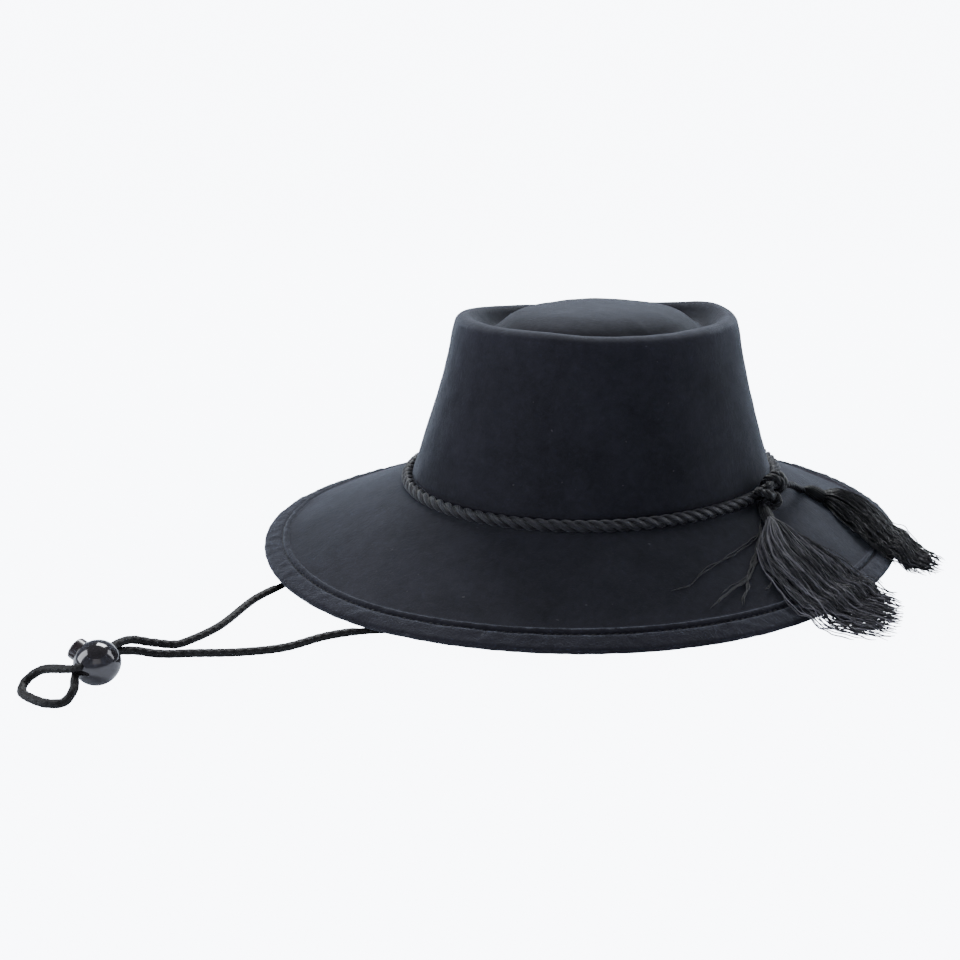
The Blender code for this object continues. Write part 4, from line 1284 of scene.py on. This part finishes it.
def make_tassel(name, tassel, threads, radius, seed, colours, node):
    """Threads that leave the head together and fan out over the brim.

    Each keeps its own share across the skirt and of its depth, sways by slow waves that
    grow towards its end, and lies at least on the felt.
    """
    chance = np.random.default_rng(seed)
    count = 42
    across = np.clip(chance.normal(0.0, 0.60, threads), -1.0, 1.0)
    across = 0.25 * across + 0.75 * chance.uniform(-1.0, 1.0, threads)
    depth = chance.uniform(0.0, 1.0, threads) * np.sqrt(np.maximum(1.0 - across ** 2, 0.12))
    reach = np.clip(chance.normal(0.955, 0.055, threads), 0.72, 1.04)
    reach -= 0.06 * across ** 2
    steps = 0.10 + (reach[:, None] - 0.10) * np.linspace(0.0, 1.0, count) ** 0.92
    x, y, turn = tassel_way(tassel, steps)
    table = np.array(tassel["fan"])
    width = np.interp(steps, table[:, 0], table[:, 1]) * tassel["spread"] * 0.5
    thick = np.interp(steps, table[:, 0], table[:, 2]) * tassel["depth"]
    grow = smooth(0.16, 0.75, steps)
    waves = np.zeros_like(steps)
    lift = np.zeros_like(steps)
    for length, size in ((0.034, 0.0013), (0.015, 0.0007), (0.0072, 0.00035)):
        phase = chance.uniform(0.0, 2.0 * math.pi, (2, threads, 1))
        rate = 2.0 * math.pi * tassel["length"] / (length * chance.uniform(0.75, 1.35, (threads, 1)))
        power = size * chance.uniform(0.4, 1.5, (threads, 1))
        waves += power * np.sin(rate * steps + phase[0])
        lift += 0.6 * power * np.sin(rate * steps + phase[1])
    crossing = chance.normal(0.0, 0.16, (threads, 1)) * smooth(0.15, 0.9, steps)
    side = (across[:, None] + crossing) * width + waves * grow
    px = x - np.sin(turn) * side
    py = y + np.cos(turn) * side
    base = lie_on_brim(px, py)
    swell = 1.0 - 0.20 * (side / np.maximum(0.5 * tassel["spread"], 1e-6)) ** 2
    height = base + radius * 1.3 + depth[:, None] * (thick - 2.0 * radius) * swell + lift * grow
    height = np.maximum(height, base + radius * 1.15)
    paths = np.stack([px, py, height], -1)
    fade = np.ones(count)
    fade[-2:] = (0.75, 0.35)
    radii = radius * chance.uniform(0.72, 1.15, (threads, 1)) * fade
    # the shine lift paints glints on the near tassel's threads and shade on the far tassel's
    look = yarn_look(
        name + "_thread", shades(colours.thread, tassel["shine"]), 0.0017, 2.0, 0.38, 0.00012, 0.85,
    )
    skirt = many_tubes(name, place(paths), radii, 5, look, seed)
    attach(skirt, "hat")
    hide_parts(node)
    return skirt


def make_head(name, tassel, colours):
    """A tassel's head: a bulb of folded threads bound by turns of thread at its neck."""
    spot, ahead = tassel_start(tassel)
    rows = np.linspace(-0.03, 0.20, 46)
    x, y, turn = tassel_way(tassel, np.maximum(rows, 0.0))
    back = np.minimum(rows, 0.0) * tassel["length"]
    x = x + back * ahead[0]
    y = y + back * ahead[1]
    shape = np.array([
        (-0.030, 0.20), (-0.010, 0.55), (0.020, 0.88), (0.060, 1.00), (0.100, 0.97),
        (0.130, 0.90), (0.165, 0.72), (0.200, 0.66),
    ])
    size = 0.5 * tassel["head"] * np.interp(rows, shape[:, 0], shape[:, 1])
    z = lie_on_brim(x, y) + 0.5 * tassel["head"] * 0.97
    path = np.stack([x, y, z], -1)
    sides = 64
    lap = np.linspace(0.0, 2.0 * math.pi, sides, endpoint=False)
    ribs = 0.90 + 0.10 * np.abs(np.sin(9.0 * lap[None, :] + rows[:, None] * 26.0))
    radius = size[:, None] * ribs
    look = yarn_look(name + "_thread", shades(colours.thread, 4.2), 0.0022, 22.0, 0.50, 0.00018)
    bulb = tube_piece(name, place(path), radius, sides, look)
    wraps = []
    for index, share in enumerate((0.132, 0.142, 0.152, 0.162, 0.172)):
        lap = np.linspace(0.0, 2.0 * math.pi, 40)
        here = np.array([np.interp(share + 0.002 * lap / 6.3, rows, path[:, k]) for k in range(3)]).T
        way = along(path)[np.argmin(np.abs(rows - share))]
        side = np.cross(way, (0.0, 0.0, 1.0))
        side /= np.linalg.norm(side)
        over = np.cross(side, way)
        girth = float(np.interp(share, rows, size)) * 0.97 + 0.00025
        wraps.append(here + girth * (np.cos(lap)[:, None] * side + np.sin(lap)[:, None] * over))
    binding = many_tubes(
        name + "_binding", place(np.array(wraps)), np.full((len(wraps), 40), 0.00042), 8, look,
    )
    for piece in (bulb, binding):
        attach(piece, "hat")
    return bulb, binding


# Stray threads on the brim: way over it in millimetres from the middle of the hat
STRAYS = (
    ((37, -93), (27, -100), (8, -107), (-17, -112), (-28, -115), (-41, -118)),
    ((32, -98), (19, -109), (3, -121), (-15, -126), (-30, -132)),
    ((24, -106), (5, -119), (-3, -126), (-11, -132), (-16, -138)),
    ((24, -110), (15, -124), (5, -130), (0, -133)),
)
STRAY_THREADS = (2, 5, 3, 2)


def make_strays(sizes, colours):
    """Loose threads that have come out of the near tassel and lie on the brim."""
    chance = np.random.default_rng(21)
    paths = []
    radii = []
    for route, amount in zip(STRAYS, STRAY_THREADS):
        flat = np.array([(x, y, 0.0) for x, y in route]) / 1000.0
        for _ in range(amount):
            moved = flat + chance.normal(0.0, 0.0009, flat.shape) * (1.0, 1.0, 0.0)
            path = spline(moved, 48)
            share = np.linspace(0.0, 1.0, 48)
            end = chance.uniform(0.8, 1.0)
            path = np.stack([np.interp(share * end, share, path[:, k]) for k in range(3)], -1)
            wave = np.sin(share * chance.uniform(18, 30) + chance.uniform(0, 6)) * 0.0005
            path[:, 0] += wave
            radius = sizes.thread_radius * chance.uniform(0.8, 1.15)
            path[:, 2] = lie_on_brim(path[:, 0], path[:, 1]) - GAP + radius * 1.1
            path[:, 2] += np.abs(wave) * 0.8
            paths.append(path)
            radii.append(np.full(48, radius) * np.minimum(1.0, (1.02 - share) * 12.0))
    look = yarn_look("stray_thread", shades(colours.thread, 3.4), 0.0017, 2.0, 0.50, 0.00012)
    piece = many_tubes("stray_threads", place(np.array(paths)), np.array(radii), 6, look)
    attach(piece, "hat")
    return piece


def make_camera():
    """The photograph's view: 30.5 degrees round from the hat's side, 18.6 degrees down."""
    data = bpy.data.cameras.new("photo_view")
    data.sensor_width = 36.0
    data.lens = 39.70
    data.clip_start = 0.01
    camera = bpy.data.objects.new("photo_view", data)
    bpy.context.scene.collection.objects.link(camera)
    turn = Matrix.Rotation(math.radians(-30.47), 4, "Z")
    turn = turn @ Matrix.Rotation(math.radians(90.0 - 18.58), 4, "X")
    turn = turn @ Matrix.Rotation(math.radians(0.38), 4, "Z")
    spot = Vector((-0.33253, -0.44539, 0.21246)) + Vector(HAT)
    camera.matrix_world = Matrix.Translation(spot) @ turn
    bpy.context.scene.camera = camera
    return camera


def softbox(name, spot, aim, size, power, tone):
    """A large soft lamp at spot that looks at aim."""
    data = bpy.data.lights.new(name, "AREA")
    data.shape = "RECTANGLE"
    data.size, data.size_y = size
    data.energy = power
    data.color = tone
    lamp = bpy.data.objects.new(name, data)
    bpy.context.scene.collection.objects.link(lamp)
    away = Vector(spot) - Vector(aim)
    lamp.matrix_world = Matrix.Translation(Vector(spot)) @ away.to_track_quat("Z", "Y").to_matrix().to_4x4()
    return lamp


def make_stage(colours):
    """Seamless paper: flat floor that sweeps up all round, far outside the hat.

    Height over a distance r from the middle: 0 to 3 m, then a quarter circle.
    """
    reach = np.concatenate([np.linspace(0.02, 3.0, 12), 3.0 + 1.6 * np.sin(np.radians(np.arange(8, 91, 8)))])
    rise = np.concatenate([np.zeros(12), 1.6 * (1.0 - np.cos(np.radians(np.arange(8, 91, 8))))])
    reach = np.append(reach, reach[-1])
    rise = np.append(rise, 4.5)
    lap = np.linspace(0.0, 2.0 * math.pi, 96, endpoint=False)
    verts = np.stack([
        reach[:, None] * np.cos(lap), reach[:, None] * np.sin(lap),
        np.broadcast_to(rise[:, None], (len(reach), 96)),
    ], -1)
    quads, _, _ = lattice(len(reach), 96)
    look = ground_look("pale_paper", tuple(colours.paper), 13.0)
    floor = mesh_piece("paper_sweep", verts, quads, look, [np.arange(96)])
    world = bpy.data.worlds.new("studio")
    world.use_nodes = True
    sky = world.node_tree.nodes["Background"]
    sky.inputs[0].default_value = (0.86, 0.90, 1.0, 1.0)
    sky.inputs[1].default_value = 0.16
    bpy.context.scene.world = world
    softbox("top_box", (0.45, 0.85, 1.25), (0.0, 0.0, 0.08), (0.85, 0.55), 41.0, (0.94, 0.98, 1.0))
    softbox("left_box", (-1.35, 0.45, 0.75), (0.0, 0.0, 0.06), (0.8, 1.2), 21.0, (0.90, 0.95, 1.0))
    softbox("right_box", (1.45, -0.15, 0.75), (0.0, 0.0, 0.06), (0.8, 1.2), 13.0, (0.92, 0.96, 1.0))
    softbox("front_box", (-0.55, -1.5, 0.95), (0.0, 0.0, 0.05), (1.2, 0.8), 2.4, (1.0, 0.98, 0.96))
    return floor


# Operators, panel and registration

def settings(context):
    """The size and colour settings of the scene."""
    return context.scene.hat_sizes, context.scene.hat_colours


class HAT_OT_camera(bpy.types.Operator):
    """Set the camera at the photograph's viewing angle"""

    bl_idname = "hat.camera"
    bl_label = "Camera"

    def execute(self, context):
        make_camera()
        return {"FINISHED"}


class HAT_OT_chin_cord(bpy.types.Operator):
    """Make the chin cord and the toggle that it runs through"""

    bl_idname = "hat.chin_cord"
    bl_label = "Chin cord and toggle"

    def execute(self, context):
        sizes, colours = settings(context)
        cord, path, length = make_cord(sizes, colours)
        ball, button = make_toggle(colours)
        path[::3].tolist() + [path[-1].tolist()]
        return {"FINISHED"}


class HAT_OT_felt(bpy.types.Operator):
    """Make the felt: crown, brim with its sewn fold, and the stitches"""

    bl_idname = "hat.felt"
    bl_label = "Felt and stitches"

    def execute(self, context):
        sizes, colours = settings(context)
        make_crown(colours)
        make_brim(colours)
        make_stitches(sizes, colours)
        return {"FINISHED"}


class HAT_OT_rope(bpy.types.Operator):
    """Lay the three-strand rope round the crown and tie its knot"""

    bl_idname = "hat.rope"
    bl_label = "Band rope and knot"

    def execute(self, context):
        sizes, colours = settings(context)
        make_rope(sizes, colours)
        make_knot(colours)
        return {"FINISHED"}


class HAT_OT_tassels(bpy.types.Operator):
    """Make both tassels with their bound heads, and the stray threads"""

    bl_idname = "hat.tassels"
    bl_label = "Tassels"

    def execute(self, context):
        sizes, colours = settings(context)
        make_tassel(
            "near_tassel_skirt", NEAR, sizes.near_threads, sizes.thread_radius, 7, colours,
            "tassel_near",
        )
        make_tassel(
            "far_tassel_skirt", FAR, sizes.far_threads, sizes.thread_radius, 8, colours,
            "tassel_far",
        )
        make_head("near_tassel_head", NEAR, colours)
        make_head("far_tassel_head", FAR, colours)
        make_strays(sizes, colours)
        return {"FINISHED"}


class HAT_OT_stage(bpy.types.Operator):
    """Set up the pale paper ground and the soft studio light"""

    bl_idname = "hat.stage"
    bl_label = "Stage"

    def execute(self, context):
        make_stage(settings(context)[1])
        return {"FINISHED"}


OPERATORS = (
    HAT_OT_camera, HAT_OT_chin_cord, HAT_OT_felt, HAT_OT_rope, HAT_OT_tassels, HAT_OT_stage,
)


class HAT_PT_pieces(bpy.types.Panel):
    """The hat's pieces and their settings"""

    bl_idname = "HAT_PT_pieces"
    bl_label = "Hat"
    bl_space_type = "VIEW_3D"
    bl_region_type = "UI"
    bl_category = "Hat"

    def draw(self, context):
        for group in settings(context):
            box = self.layout.box()
            for name in group.__annotations__:
                box.prop(group, name)
        for operator in OPERATORS:
            self.layout.operator(operator.bl_idname)


CLASSES = (HatSizes, HatColours, *OPERATORS, HAT_PT_pieces)


def register():
    for each in CLASSES:
        bpy.utils.register_class(each)
    bpy.types.Scene.hat_sizes = PointerProperty(type=HatSizes)
    bpy.types.Scene.hat_colours = PointerProperty(type=HatColours)


def unregister():
    del bpy.types.Scene.hat_colours
    del bpy.types.Scene.hat_sizes
    for each in reversed(CLASSES):
        bpy.utils.unregister_class(each)


def main():
    register()
    bpy.ops.hat.camera()
    bpy.ops.hat.chin_cord()
    bpy.ops.hat.felt()
    bpy.ops.hat.rope()
    bpy.ops.hat.tassels()
    bpy.ops.hat.stage()
    bpy.context.view_layer.update()
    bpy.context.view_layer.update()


if __name__ == "__main__":
    main()
